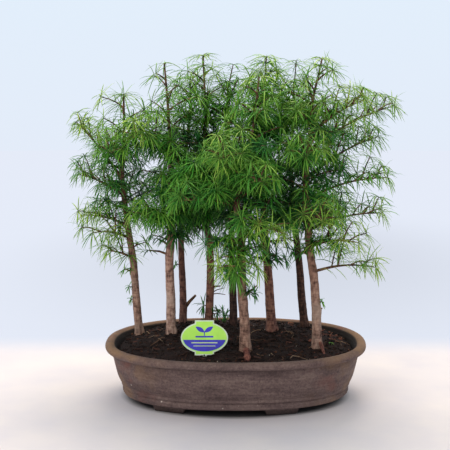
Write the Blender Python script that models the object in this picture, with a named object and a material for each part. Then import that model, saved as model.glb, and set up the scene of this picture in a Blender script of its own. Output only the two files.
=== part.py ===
# Golden larch forest bonsai: nine young trees in one oval stoneware tray.
# Sizes are millimetres here, and each mesh is scaled to metres when it is made.
# X runs along the tray, -Y is its front, and its feet stand on Z = 0.

import random
from math import cos, pi, radians, sin

import bmesh
import bpy
import numpy as np
from mathutils import Matrix, Vector

MM = 0.001
GAP = 0.3
UP = Vector((0, 0, 1))

# The tray is an oval of constant thickness. Each pair is inset from the rim, height.
TRAY_HALF_LENGTH = 200.0
TRAY_HALF_WIDTH = 145.0
TRAY_ROUNDNESS = 2.35
TRAY_SIDES = 40
TRAY_OUTSIDE = (
    (33, 10), (28.5, 12.5), (28.5, 18.5), (22.5, 28.5), (18.5, 38.5), (15.5, 52),
    (12, 66.5), (9, 71), (4.5, 75), (1, 79), (0, 83.5), (3, 87), (8, 88),
)
TRAY_INSIDE = ((13, 87.4), (16, 84), (19, 76), (26, 40), (33, 21), (39, 18))
FLOOR_BOTTOM = TRAY_OUTSIDE[0][1]
FLOOR_TOP = TRAY_INSIDE[-1][1]

# The feet stand in a ring that is turned a little from the tray's long side.
FOOT_PLACES = ((-95, -82, -20), (65, -92, 11), (95, 82, -20), (-65, 92, 11))
FOOT_LENGTH = 54.0
FOOT_WIDTH = 24.0
FOOT_SINK = 3.0
FOOT_TAPER = 0.82
DRAIN_X = 95.0
DRAIN_RADIUS = 11.0
SCREEN_SIZE = 34.0
SCREEN_THICKNESS = 1.4
SCREEN_HOLE = 5.0
SCREEN_PITCH = 8.0

# The soil follows the tray's inner wall and rises to a low mound behind the middle.
SOIL_GAP = 0.5
SOIL_EDGE = 78.0
SOIL_RISE = 15.0
SOIL_BACK_RISE = 10.0
SOIL_END_DROP = 5.0
SOIL_RINGS = (0.94, 0.82, 0.66, 0.48, 0.28, 0.1)
SOIL_SIDE_HEIGHTS = (21.5, 40, 60)
PLANTING_DEPTH = 25.0
HOLE_GAP = 0.7
CUT_OVER = 12.0

LABEL_X = -46.0
LABEL_Y = -86.0
LABEL_LENGTH = 72.0
LABEL_HEIGHT = 51.0
LABEL_THICKNESS = 1.4
LABEL_LIFT = 2.5
LABEL_LEAN = 15.0
LABEL_SIDES = 32
STAKE_WIDTH = 11.0
STAKE_DEPTH = 24.0
STAKE_OVERLAP = 8.0
STAKE_POINT = 0.35

# Wood covers this much of a branch, and its spray of needles the rest.
WOOD_SHARE = 0.2
FLARE_HEIGHT = 16.0
TRUNK_END = 2.4
TRUNK_TAPER = 0.7
BRANCH_ROOT = 2.9
BRANCH_END = 2.2
BRANCH_STEPS = 1
STUB_RADII = (2.4, 1.9, 1.2)
SHOOT_START = 1.9
SHOOT_END = 1.2
WHORL_LENGTH = 3.0
WHORL_SPACING = 19.0
BRANCH_ARCH = 0.07

# Shoots that leave a spray: whorl, then how much forward, sideways and upward, and length.
SPRAY_SHOOTS = (
    (0, 0.1, 1.0, 0.5, 40), (0, 0.25, -0.4, 1.0, 44), (1, 0.75, -1.0, 0.2, 34), (2, 0.75, 1.0, 0.2, 28),
)
# Shoots that leave a leader: whorl, turn in degrees, and length.
LEADER_SHOOTS = ((0, 250, 42), (1, 0, 50), (3, 140, 38))
LEADER_SHOOT_RISE = 0.45
# A side shoot turns by one of these, in degrees, to pass clear of its neighbours.
SHOOT_TURNS = (0, 20, -20, 40, -40, 65, -65, 90, -90)
SHOOT_CLEARANCE = 4.0
SPRAY_TIP = 3

# Needles are longest in the middle of the planting.
NEEDLE_LENGTH = 44.0
EDGE_NEEDLE_LENGTH = 31.0
NEEDLE_SHARE = 0.8
NEEDLE_ROOT = 1.6
NEEDLE_RADIUS = 1.1
NEEDLE_TRIES = 12
NEEDLE_GAP = 0.4
CROWN_HALF_LENGTH = 262.0
CROWN_HALF_WIDTH = 185.0
CROWN_TOP = 530.0

# Each tree: radius where it enters the soil, radius above the flare, where its
# leader starts on the path, how far its bare tip passes the path's top, the
# trunk's path upward, and its branches as height, bearing from +X, reach and
# rise. Stubs are short bare twigs, the same way.
TREES = (
    {
        "flare": 8.5, "trunk": 6.9, "leader": 378, "tip": 4,
        "path": ((-152, 45), (-156, 43, 143), (-159, 41, 200), (-167, 39, 255), (-171, 38, 290),
                 (-175, 36, 340), (-172, 34, 378), (-170, 32, 420), (-170, 30, 456)),
        "branches": ((330, 172, 72, 88), (305, 190, 70, 34), (258, 168, 72, 14), (238, 225, 72, 16),
                     (352, 262, 82, 26), (285, 95, 84, 26), (206, 200, 40, 14)),
        "stubs": ((182, 200, 10, 5),),
    },
    {
        "flare": 9.6, "trunk": 8.0, "leader": 400, "tip": 16,
        "path": ((-100, 20), (-100, 18, 149), (-102, 16, 200), (-99, 14, 233), (-97, 11, 300),
                 (-99, 9, 377), (-101, 7, 437), (-105, 5, 490)),
        "branches": ((262, 245, 84, 20), (318, 300, 88, 22), (372, 228, 80, 28)),
        "stubs": ((215, 184, 32, 8), (228, 172, 20, 12)),
    },
    {
        "flare": 8.0, "trunk": 6.3, "leader": 390, "tip": 11,
        "path": ((-84, 85), (-84, 86, 146), (-86, 88, 186), (-87, 89, 232), (-85, 91, 292),
                 (-78, 92, 372), (-71, 94, 435), (-71, 95, 476)),
        "branches": ((285, 118, 84, 28), (352, 92, 84, 30)),
        "stubs": ((124, 350, 15, 13),),
    },
    {
        "flare": 8.6, "trunk": 6.9, "leader": 408, "tip": 23,
        "path": ((-42, 80), (-40, 79, 147), (-39, 78, 200), (-41, 76, 234), (-49, 75, 261),
                 (-52, 74, 286), (-47, 72, 392), (-46, 71, 423), (-49, 70, 497)),
        "branches": ((252, 88, 88, 22), (335, 62, 84, 26), (262, 255, 78, 16)),
        "stubs": (),
    },
    {
        "flare": 7.4, "trunk": 6.0, "leader": 385, "tip": 7,
        "path": ((-2, 60), (-3, 62, 139), (-5, 65, 195), (-6, 68, 255), (-8, 70, 326),
                 (-11, 72, 404), (-12, 75, 472)),
        "branches": ((296, 55, 92, 22), (318, 262, 66, 22)),
        "stubs": (),
    },
    {
        "flare": 9.8, "trunk": 8.0, "leader": 388, "tip": 16,
        "path": ((15, -72), (12, -71, 140), (9, -69, 168), (8, -68, 234), (7, -67, 263),
                 (1, -65, 302), (10, -64, 346), (21, -63, 392), (27, -61, 432), (31, -60, 470)),
        "branches": ((236, 262, 62, -22), (300, 196, 92, 10), (262, 308, 96, 10), (350, 248, 92, 26),
                     (322, 290, 88, 22)),
        "stubs": ((104, 185, 12, 5),),
    },
    {
        "flare": 11.0, "trunk": 8.0, "leader": 412, "tip": 22,
        "path": ((57, 28), (53, 27, 158), (49, 26, 208), (45, 25, 248), (44, 23, 298),
                 (42, 22, 361), (43, 21, 437), (45, 20, 494)),
        "branches": ((262, 352, 96, 12), (300, 212, 80, 22), (396, 345, 74, 30)),
        "stubs": (),
    },
    {
        "flare": 8.8, "trunk": 7.0, "leader": 392, "tip": 4,
        "path": ((112, 70), (107, 71, 137), (103, 73, 189), (98, 74, 231), (93, 76, 271),
                 (88, 77, 341), (91, 79, 420), (92, 80, 474)),
        "branches": ((262, 32, 104, 14), (318, 72, 96, 24), (372, 22, 104, 28)),
        "stubs": (),
    },
    {
        "flare": 9.4, "trunk": 7.7, "leader": 412, "tip": 16,
        "path": ((122, -42), (120, -42, 143), (117, -43, 182), (112, -43, 215), (108, -43, 239),
                 (106, -44, 269), (102, -44, 284), (102, -44, 337), (106, -44, 395),
                 (111, -45, 455), (120, -45, 496)),
        "branches": ((200, 356, 92, 8), (238, 322, 84, 14), (262, 8, 112, 24), (308, 352, 118, 34),
                     (338, 20, 118, 60), (378, 8, 128, 66), (276, 280, 92, 10), (402, 325, 88, 52),
                     (356, 264, 92, 22)),
        "stubs": ((140, 350, 9, 5),),
    },
)

# Red, green, blue, roughness.
STONEWARE = (0.137, 0.09, 0.077, 0.85)
POTTING_SOIL = (0.022, 0.013, 0.011, 0.95)
BARK = (0.19, 0.105, 0.075, 0.85)
DARK_BARK = (0.06, 0.028, 0.02, 0.9)
NEEDLE_GREEN = (0.07, 0.25, 0.025, 0.6)
LABEL_GREEN = (0.46, 0.75, 0.1, 0.4)
SCREEN_BLACK = (0.02, 0.02, 0.02, 0.5)


def clear_scene():
    for thing in list(bpy.data.objects):
        bpy.data.objects.remove(thing)
    for group in list(bpy.data.collections):
        bpy.data.collections.remove(group)


def make_group(name, hidden=False):
    group = bpy.data.collections.new(name)
    group.hide_render = hidden
    bpy.context.scene.collection.children.link(group)
    return group


def material(name, look):
    made = bpy.data.materials.new(name)
    made.use_nodes = True
    shader = made.node_tree.nodes["Principled BSDF"]
    shader.inputs["Base Color"].default_value = (*look[:3], 1)
    shader.inputs["Roughness"].default_value = look[3]
    shader.inputs["Metallic"].default_value = 0
    made.diffuse_color = (*look[:3], 1)
    return made


# Makes an object of a mesh drawn in millimetres.
def finish(name, bm, group, look=None, smooth=False):
    mesh = bpy.data.meshes.new(name)
    bm.to_mesh(mesh)
    bm.free()
    mesh.transform(Matrix.Scale(MM, 4))
    if smooth:
        mesh.shade_smooth()
        mesh.set_sharp_from_angle(angle=radians(40))
    if look:
        mesh.materials.append(material(name, look))
    thing = bpy.data.objects.new(name, mesh)
    group.objects.link(thing)
    if group.hide_render:
        thing.hide_render = True
        thing.display_type = "WIRE"
    return thing


def boolean(thing, operation, group):
    cut = thing.modifiers.new(group.name, "BOOLEAN")
    cut.operation = operation
    cut.operand_type = "COLLECTION"
    cut.collection = group
    cut.solver = "EXACT"
    return cut


# Fixes a thing's modifiers into its mesh, and removes what they joined to it.
def apply_and_clear(thing, group):
    graph = bpy.context.evaluated_depsgraph_get()
    graph.update()
    joined = bpy.data.meshes.new_from_object(thing.evaluated_get(graph))
    thing.modifiers.clear()
    thing.data = joined
    for used in list(group.objects):
        bpy.data.objects.remove(used)
    bpy.data.collections.remove(group)


def oval(inset, height):
    ring = []
    for step in range(TRAY_SIDES):
        angle = 2 * pi * step / TRAY_SIDES
        x, y = cos(angle), sin(angle)
        power = 2 / TRAY_ROUNDNESS
        x = (TRAY_HALF_LENGTH - inset) * abs(x) ** power * (1 if x > 0 else -1)
        y = (TRAY_HALF_WIDTH - inset) * abs(y) ** power * (1 if y > 0 else -1)
        ring.append(Vector((x, y, height)))
    return ring


# Joins rings of equal point counts into one closed skin with flat ends.
def loft(rings):
    bm = bmesh.new()
    loops = [[bm.verts.new(point) for point in ring] for ring in rings]
    for lower, upper in zip(loops, loops[1:]):
        for i, vert in enumerate(lower):
            after = (i + 1) % len(lower)
            bm.faces.new((vert, lower[after], upper[after], upper[i]))
    bm.faces.new(reversed(loops[0]))
    bm.faces.new(loops[-1])
    bmesh.ops.recalc_face_normals(bm, faces=bm.faces)
    return bm


def block(bm, size, place, turn=0.0, tilt=0.0):
    matrix = Matrix.Translation(place) @ Matrix.Rotation(radians(turn), 4, "Z")
    matrix = matrix @ Matrix.Rotation(radians(tilt), 4, "X") @ Matrix.Diagonal((*size, 1))
    return bmesh.ops.create_cube(bm, size=1, matrix=matrix)["verts"]


def rod(bm, radius, bottom, top, place, sides):
    middle = Matrix.Translation((place[0], place[1], (bottom + top) / 2))
    bmesh.ops.create_cone(
        bm, cap_ends=True, segments=sides, radius1=radius, radius2=radius,
        depth=top - bottom, matrix=middle,
    )


def make_tray(parts):
    rings = [oval(*pair) for pair in TRAY_OUTSIDE + TRAY_INSIDE]
    tray = finish("tray", loft(rings), parts, STONEWARE, smooth=True)
    feet = make_group("tray_feet", hidden=True)
    for number, (x, y, turn) in enumerate(FOOT_PLACES):
        bm = bmesh.new()
        top = FLOOR_BOTTOM + FOOT_SINK
        verts = block(bm, (FOOT_LENGTH, FOOT_WIDTH, top), (x, y, top / 2), turn)
        low = [vert for vert in verts if vert.co.z < FOOT_SINK]
        from_middle = Matrix.Translation((-x, -y, 0))
        bmesh.ops.scale(bm, vec=(FOOT_TAPER, FOOT_TAPER, 1), verts=low, space=from_middle)
        finish(f"foot_{number}", bm, feet)
    boolean(tray, "UNION", feet)
    drains = make_group("drain_holes", hidden=True)
    for side in (-1, 1):
        bm = bmesh.new()
        top = FLOOR_TOP + CUT_OVER
        rod(bm, DRAIN_RADIUS, FLOOR_BOTTOM - CUT_OVER, top, (side * DRAIN_X, 0), 20)
        finish(f"drain_{side}", bm, drains)
    boolean(tray, "DIFFERENCE", drains)


def make_screens(parts):
    places = [SCREEN_PITCH * step for step in (-1, 0, 1)]
    for name, x in (("drain_screen_left", -DRAIN_X), ("drain_screen_right", DRAIN_X)):
        bm = bmesh.new()
        height = FLOOR_TOP + GAP + SCREEN_THICKNESS / 2
        block(bm, (SCREEN_SIZE, SCREEN_SIZE, SCREEN_THICKNESS), (x, 0, height))
        screen = finish(name, bm, parts, SCREEN_BLACK)
        holes = make_group(name + "_holes", hidden=True)
        for across in places:
            for along in places:
                bm = bmesh.new()
                block(bm, (SCREEN_HOLE, SCREEN_HOLE, CUT_OVER), (x + across, along, height))
                finish("mesh_hole", bm, holes)
        boolean(screen, "DIFFERENCE", holes)
        apply_and_clear(screen, holes)


def soil_height(x, y):
    half_length = TRAY_HALF_LENGTH - TRAY_INSIDE[2][0]
    half_width = TRAY_HALF_WIDTH - TRAY_INSIDE[2][0]
    out = abs(x / half_length) ** TRAY_ROUNDNESS + abs(y / half_width) ** TRAY_ROUNDNESS
    rise = SOIL_RISE + SOIL_BACK_RISE * y / TRAY_HALF_WIDTH
    ends = SOIL_END_DROP * (x / TRAY_HALF_LENGTH) ** 2
    return SOIL_EDGE + rise * max(0.0, 1 - out) ** 0.6 - ends


def wall_inset(height):
    for (high, top), (low, bottom) in zip(TRAY_INSIDE, TRAY_INSIDE[1:]):
        if bottom <= height <= top:
            return low + (high - low) * (height - bottom) / (top - bottom)
    return TRAY_INSIDE[0][0]


def make_soil(parts):
    rings = [oval(TRAY_INSIDE[-1][0] + SOIL_GAP, FLOOR_TOP + GAP)]
    for height in SOIL_SIDE_HEIGHTS:
        rings.append(oval(wall_inset(height) + SOIL_GAP, height))
    edge = oval(wall_inset(SOIL_EDGE - SOIL_END_DROP) + SOIL_GAP, SOIL_EDGE)
    for share in (1.0, *SOIL_RINGS):
        ring = []
        for point in edge:
            x, y = point.x * share, point.y * share
            ring.append(Vector((x, y, soil_height(x, y))))
        rings.append(ring)
    soil = finish("soil", loft(rings), parts, POTTING_SOIL, smooth=True)
    holes = make_group("planting_holes", hidden=True)
    for number, tree in enumerate(TREES, 1):
        x, y = tree["path"][0]
        top = soil_height(x, y)
        bm = bmesh.new()
        rod(bm, tree["flare"] + HOLE_GAP, top - PLANTING_DEPTH - GAP, top + CUT_OVER, (x, y), 12)
        finish(f"hole_{number}", bm, holes)
    for side in (-1, 1):
        bm = bmesh.new()
        size = (SCREEN_SIZE + 2, SCREEN_SIZE + 2, CUT_OVER)
        top = FLOOR_TOP + SCREEN_THICKNESS + 2 * GAP
        block(bm, size, (side * DRAIN_X, 0, top - CUT_OVER / 2))
        finish(f"screen_room_{side}", bm, holes)
    bm = bmesh.new()
    slot = (STAKE_WIDTH + 2 * GAP, LABEL_THICKNESS + 2 * GAP, 2 * (STAKE_DEPTH + GAP))
    place = (LABEL_X, LABEL_Y, soil_height(LABEL_X, LABEL_Y))
    block(bm, slot, place)
    finish("stake_slot", bm, holes)
    boolean(soil, "DIFFERENCE", holes)
    apply_and_clear(soil, holes)


# The label is an oval plate that leans back on an upright stake.
def make_label(parts):
    ground = soil_height(LABEL_X, LABEL_Y)
    outline = bpy.data.curves.new("label_outline", "CURVE")
    outline.dimensions = "2D"
    outline.fill_mode = "BOTH"
    outline.extrude = LABEL_THICKNESS / 2 * MM
    spline = outline.splines.new("POLY")
    spline.points.add(LABEL_SIDES - 1)
    spline.use_cyclic_u = True
    for step, point in enumerate(spline.points):
        angle = 2 * pi * step / LABEL_SIDES
        across = LABEL_LENGTH / 2 * cos(angle) * MM
        point.co = (across, LABEL_HEIGHT / 2 * sin(angle) * MM, 0, 1)
    plate = bpy.data.objects.new("label_plate", outline)
    parts.objects.link(plate)
    middle = ground + LABEL_LIFT + LABEL_HEIGHT / 2 * cos(radians(LABEL_LEAN))
    behind = LABEL_Y + LABEL_HEIGHT / 2 * sin(radians(LABEL_LEAN))
    plate.location = Vector((LABEL_X, behind, middle)) * MM
    plate.rotation_euler = (radians(90 - LABEL_LEAN), 0, 0)
    label = to_mesh_object(plate, "plant_label", parts)
    label.data.materials.append(material("plant_label", LABEL_GREEN))
    stakes = make_group("label_stake", hidden=True)
    bm = bmesh.new()
    top = ground + LABEL_LIFT + STAKE_OVERLAP
    bottom = ground - STAKE_DEPTH
    size = (STAKE_WIDTH, LABEL_THICKNESS, top - bottom)
    verts = block(bm, size, (LABEL_X, LABEL_Y, (top + bottom) / 2))
    point = [vert for vert in verts if vert.co.z < ground]
    from_middle = Matrix.Translation((-LABEL_X, 0, 0))
    bmesh.ops.scale(bm, vec=(STAKE_POINT, 1, 1), verts=point, space=from_middle)
    finish("stake", bm, stakes)
    boolean(label, "UNION", stakes)
    apply_and_clear(label, stakes)


# Turns a curve object into a mesh object whose caps are joined to its skin.
def to_mesh_object(curve, name, group):
    graph = bpy.context.evaluated_depsgraph_get()
    graph.update()
    mesh = bpy.data.meshes.new_from_object(curve.evaluated_get(graph))
    bm = bmesh.new()
    bm.from_mesh(mesh)
    bmesh.ops.remove_doubles(bm, verts=bm.verts, dist=1e-6)
    bmesh.ops.recalc_face_normals(bm, faces=bm.faces)
    bm.to_mesh(mesh)
    bm.free()
    mesh.name = name
    mesh.transform(curve.matrix_world)
    made = bpy.data.objects.new(name, mesh)
    group.objects.link(made)
    bpy.data.objects.remove(curve)
    return made


# A round stem along points, with its own radius at each.
def stem(name, points, radii, detail, group):
    curve = bpy.data.curves.new(name, "CURVE")
    curve.dimensions = "3D"
    curve.bevel_depth = MM
    curve.bevel_resolution = detail
    curve.use_fill_caps = True
    spline = curve.splines.new("POLY")
    spline.points.add(len(points) - 1)
    for place, radius, point in zip(points, radii, spline.points):
        point.co = (*(place * MM), 1)
        point.radius = radius
    line = bpy.data.objects.new(name + "_line", curve)
    group.objects.link(line)
    return to_mesh_object(line, name, group)


def trunk_path(tree):
    x, y = tree["path"][0]
    return [Vector((x, y, soil_height(x, y)))] + [Vector(point) for point in tree["path"][1:]]


# The wooden part of a trunk's path, from the soil to where the green leader starts.
def wood_points(tree):
    path = trunk_path(tree)
    points = [point for point in path if point.z < tree["leader"] - 4]
    return points + [point_at_height(path, tree["leader"])]


def point_at_height(path, height):
    for low, high in zip(path, path[1:]):
        if low.z <= height <= high.z:
            return low.lerp(high, (height - low.z) / (high.z - low.z))
    return path[-1]


def trunk_radius(tree, height):
    path = trunk_path(tree)
    share = (height - path[0].z) / (tree["leader"] - path[0].z)
    return TRUNK_END + (tree["trunk"] - TRUNK_END) * max(0.0, 1 - share) ** TRUNK_TAPER


# A branch leaves level or rising, bows a little upward and ends at its full rise.
def branch_path(tree, branch, share_from, share_to, count):
    height, bearing, reach, rise = branch
    start = point_at_height(trunk_path(tree), height)
    along = Vector((cos(radians(bearing)), sin(radians(bearing)), 0))
    path = []
    for step in range(count + 1):
        share = share_from + (share_to - share_from) * step / count
        bow = BRANCH_ARCH * reach * sin(pi * share)
        path.append(start + along * reach * share + UP * (rise * share + bow))
    return path


def make_trunk(number, tree, parts):
    name = f"trunk_{number}"
    path = trunk_path(tree)
    ground = path[0]
    first = point_at_height(path, ground.z + FLARE_HEIGHT)
    points = [ground - UP * PLANTING_DEPTH, ground + UP * FLARE_HEIGHT / 8, first]
    points += wood_points(tree)[1:]
    radii = [tree["flare"], tree["flare"]]
    radii += [trunk_radius(tree, point.z) for point in points[2:]]
    trunk = stem(name, points, radii, 1, parts)
    twigs = make_group(name + "_twigs", hidden=True)
    for count, branch in enumerate(tree["branches"]):
        path = branch_path(tree, branch, 0, WOOD_SHARE, BRANCH_STEPS)
        radii = np.linspace(BRANCH_ROOT, BRANCH_END, len(path))
        stem(f"{name}_branch_{count}", path, radii, 0, twigs)
    for count, stub in enumerate(tree["stubs"]):
        stem(f"{name}_stub_{count}", branch_path(tree, stub, 0, 1, 2), STUB_RADII, 0, twigs)
    boolean(trunk, "UNION", twigs)
    apply_and_clear(trunk, twigs)
    trunk.data.materials.clear()
    trunk.data.materials.append(material(name, DARK_BARK if number in (5, 8) else BARK))
    trunk.data.shade_smooth()
    trunk.data.set_sharp_from_angle(angle=radians(50))


# Shortest distances from one straight run to many others.
def distances(start, end, starts, ends):
    run, runs, apart = end - start, ends - starts, start - starts
    long = run @ run
    longs = np.maximum((runs * runs).sum(1), 1e-9)
    cross = runs @ run
    near = apart @ run
    far = (runs * apart).sum(1)
    spread = np.maximum(long * longs - cross * cross, 1e-9)
    here = np.clip((cross * far - near * longs) / spread, 0, 1)
    there = np.clip((cross * here + far) / longs, 0, 1)
    here = np.clip((cross * there - near) / long, 0, 1)
    between = apart + here[:, None] * run - there[:, None] * runs
    return np.sqrt((between * between).sum(1))


# Every stem, shoot and needle so far, each as a straight run with a radius.
class Crowd:
    def __init__(self, room):
        self.starts = np.zeros((room, 3))
        self.ends = np.zeros((room, 3))
        self.radii = np.zeros(room)
        self.owners = np.zeros(room, int)
        self.roots = np.zeros(room, bool)
        self.count = 0

    def add(self, start, end, radius, owner, root=False):
        self.starts[self.count] = start
        self.ends[self.count] = end
        self.radii[self.count] = radius
        self.owners[self.count] = owner
        self.roots[self.count] = root
        self.count += 1

    def is_clear(self, start, end, radius, owner, root=False):
        kept = slice(0, self.count)
        room = distances(np.array(start), np.array(end), self.starts[kept], self.ends[kept])
        room -= self.radii[kept] + radius + NEEDLE_GAP
        own = self.owners[kept] == owner
        ignored = own if root else own & self.roots[kept]
        return bool((room[~ignored] > 0).all())


def add_path(crowd, path, radii, owner):
    for start, end, radius in zip(path, path[1:], radii):
        crowd.add(start, end, radius, owner)


# Draws a face out to a like face round a centre, square to a direction.
def grow(bm, face, centre, direction, radius):
    face.normal_update()
    middle = face.calc_center_median()
    turn = face.normal.rotation_difference(direction)
    face = bmesh.ops.extrude_discrete_faces(bm, faces=[face])["faces"][0]
    reach = sum((vert.co - middle).length for vert in face.verts) / len(face.verts)
    for vert in face.verts:
        vert.co = centre + (turn @ (vert.co - middle)) * (radius / reach)
    face.normal_update()
    return face


def sides_of(face):
    return [other for edge in face.edges for other in edge.link_faces if other != face]


def sharpen(bm, face, point):
    bmesh.ops.poke(bm, faces=[face])["verts"][0].co = point


# Grows a shoot from a face through points, and returns its whorls of small faces.
def grow_shoot(bm, face, path, thick, thin, tip):
    whorls = []
    for step in range(1, len(path)):
        direction = (path[step] - path[step - 1]).normalized()
        radius = thick + (thin - thick) * step / (len(path) - 1)
        face = grow(bm, face, path[step] - direction * WHORL_LENGTH, direction, radius)
        face = grow(bm, face, path[step], direction, radius * 0.92)
        middle = path[step] - direction * WHORL_LENGTH / 2
        small = bmesh.ops.triangulate(bm, faces=sides_of(face))["faces"]
        whorls.append((small, middle, direction))
    sharpen(bm, face, path[-1] + direction * tip)
    return whorls


def outward(face, middle, direction):
    out = face.calc_center_median() - middle
    return (out - direction * out.dot(direction)).normalized()


# Takes the whorl's face that looks most the wanted way.
def take_face(whorl, wanted):
    faces, middle, direction = whorl
    best = max(faces, key=lambda face: outward(face, middle, direction).dot(wanted))
    faces.remove(best)
    return best


# Turns a side shoot's way until it is clear of all but its own spray, or finds none.
def clear_way(start, wanted, length, owner, crowd):
    for turn in SHOOT_TURNS:
        way = Matrix.Rotation(radians(turn), 3, "Z") @ wanted
        if crowd.is_clear(start, start + way * length, SHOOT_CLEARANCE, owner, True):
            return way
    return None


def side_shoot(bm, whorl, wanted, length):
    face = take_face(whorl, wanted)
    start = face.calc_center_median()
    path = [start]
    count = whorl_count(length)
    for step in range(1, count + 1):
        share = step / count
        path.append(start + wanted * length * share + UP * length * 0.08 * sin(pi * share))
    return grow_shoot(bm, face, path, SHOOT_START * 0.75, SHOOT_END, SPRAY_TIP), path


# Grows a spray's main shoot along its path from a three-sided root.
def start_spray(bm, path, tip, owner, crowd):
    start = path[0]
    direction = (path[1] - path[0]).normalized()
    turn = UP.rotation_difference(direction).to_matrix().to_4x4()
    first = Matrix.Translation(start + direction * 1.5) @ turn
    bmesh.ops.create_cone(
        bm, cap_ends=True, segments=3, radius1=SHOOT_START, radius2=SHOOT_START,
        depth=3, matrix=first,
    )
    bm.normal_update()
    face = max(bm.faces, key=lambda one: one.normal.dot(direction))
    end = path[-1] + (path[-1] - path[-2]).normalized() * tip
    add_path(crowd, [*path, end], [SHOOT_START] * len(path), owner)
    return grow_shoot(bm, face, path, SHOOT_START, SHOOT_END, tip)


def add_side_shoots(bm, whorls, sides, owner, crowd):
    main = list(whorls)
    for which, wanted, length in sides:
        whorl = main[min(which, len(main) - 1)]
        way = clear_way(whorl[1], wanted, length, owner, crowd)
        if way is None:
            continue
        more, side_path = side_shoot(bm, whorl, way, length)
        add_path(crowd, side_path, [SHOOT_START] * len(side_path), owner)
        whorls += more


def inside_crown(point):
    if abs(point.x) > CROWN_HALF_LENGTH or abs(point.y) > CROWN_HALF_WIDTH:
        return False
    return point.z < CROWN_TOP


def needle_length(root):
    out = min(1.0, Vector((root.x / CROWN_HALF_LENGTH, root.y / CROWN_HALF_WIDTH)).length)
    return NEEDLE_LENGTH + (EDGE_NEEDLE_LENGTH - NEEDLE_LENGTH) * out


# Draws a small face out to one point, so that it becomes a three-sided needle.
def grow_needle(bm, face, middle, direction, owner, crowd, draw):
    root = face.calc_center_median()
    side = outward(face, middle, direction)
    for attempt in range(NEEDLE_TRIES):
        lean = radians(draw.uniform(22, 56))
        swing = Matrix.Rotation(radians(draw.uniform(-16, 16)), 3, direction)
        out = (swing @ side) * cos(lean) + direction * sin(lean) + UP * 0.1
        out.normalize()
        length = needle_length(root) * draw.uniform(0.82, 1.12) * (1 - 0.03 * attempt)
        base = root + out * length * 0.24
        tip = root + out * length
        clear = inside_crown(tip) and crowd.is_clear(root, base, NEEDLE_ROOT, owner, True)
        if clear and crowd.is_clear(base, tip, NEEDLE_RADIUS, owner):
            crowd.add(root, base, NEEDLE_ROOT, owner, True)
            crowd.add(base, tip, NEEDLE_RADIUS, owner)
            sharpen(bm, face, tip)
            return 1
    return 0


def whorl_count(length):
    return max(2, round(length / WHORL_SPACING))


def spray_path(tree, branch):
    reach, rise = branch[2:]
    count = whorl_count(Vector((reach, rise)).length * (1 - WOOD_SHARE))
    path = branch_path(tree, branch, WOOD_SHARE, 1, count)
    wood = branch_path(tree, branch, 0, WOOD_SHARE, BRANCH_STEPS)
    direction = (wood[-1] - wood[-2]).normalized()
    return [path[0] + direction * GAP, *path[1:]]


def leader_path(tree):
    path = trunk_path(tree)
    before, start = wood_points(tree)[-2:]
    top = path[-1]
    direction = (start - before).normalized()
    count = whorl_count(top.z - start.z)
    shares = [step / count for step in range(1, count)]
    middle = [point_at_height(path, start.z + (top.z - start.z) * share) for share in shares]
    return [start + direction * GAP, *middle, top]


def make_sprays(parts):
    crowd = Crowd(9000)
    sprays = []
    for number, tree in enumerate(TREES, 1):
        path = wood_points(tree)
        add_path(crowd, path, [trunk_radius(tree, point.z) for point in path], -number)
        for branch in tree["branches"]:
            wood = branch_path(tree, branch, 0, WOOD_SHARE, BRANCH_STEPS)
            add_path(crowd, wood, [BRANCH_ROOT] * BRANCH_STEPS, -number)
        for stub in tree["stubs"]:
            add_path(crowd, branch_path(tree, stub, 0, 1, 2), STUB_RADII, -number)
    for number, tree in enumerate(TREES, 1):
        draw = random.Random(number)
        turn = draw.uniform(0, 360)
        sides = []
        for which, angle, length in LEADER_SHOOTS:
            way = radians(turn + angle)
            wanted = Vector((cos(way), sin(way), LEADER_SHOOT_RISE)).normalized()
            sides.append((which, wanted, length))
        sprays.append({"name": f"leader_{number}", "path": leader_path(tree), "tip": tree["tip"],
                       "sides": sides, "draw": draw})
        for count, branch in enumerate(tree["branches"], 1):
            draw = random.Random(100 * number + count)
            path = spray_path(tree, branch)
            along = (path[-1] - path[0]).normalized()
            across = UP.cross(along).normalized()
            first = draw.choice((-1, 1))
            sides = []
            for which, forward, sideways, upward, length in SPRAY_SHOOTS:
                wanted = along * forward + across * sideways * first + UP * upward
                sides.append((which, wanted.normalized(), length))
            sprays.append({"name": f"spray_{number}_{count}", "path": path, "tip": SPRAY_TIP,
                           "sides": sides, "draw": draw})
    for owner, spray in enumerate(sprays, 1):
        spray["bm"] = bmesh.new()
        spray["whorls"] = start_spray(spray["bm"], spray["path"], spray["tip"], owner, crowd)
    for owner, spray in enumerate(sprays, 1):
        add_side_shoots(spray["bm"], spray["whorls"], spray["sides"], owner, crowd)
    total = 0
    for owner, spray in enumerate(sprays, 1):
        draw = spray["draw"]
        for faces, middle, direction in spray["whorls"]:
            for face in faces:
                if draw.random() < NEEDLE_SHARE:
                    total += grow_needle(spray["bm"], face, middle, direction, owner, crowd, draw)
        finish(spray["name"], spray["bm"], parts, NEEDLE_GREEN)
    print("needles", total)


def main():
    clear_scene()
    parts = make_group("golden_larch_forest")
    make_tray(parts)
    make_screens(parts)
    make_soil(parts)
    make_label(parts)
    for number, tree in enumerate(TREES, 1):
        make_trunk(number, tree, parts)
    make_sprays(parts)


main()
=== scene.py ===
import random
from math import cos, exp, pi, radians, sin

import bpy
import numpy as np
from mathutils import Matrix, Vector, noise


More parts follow.
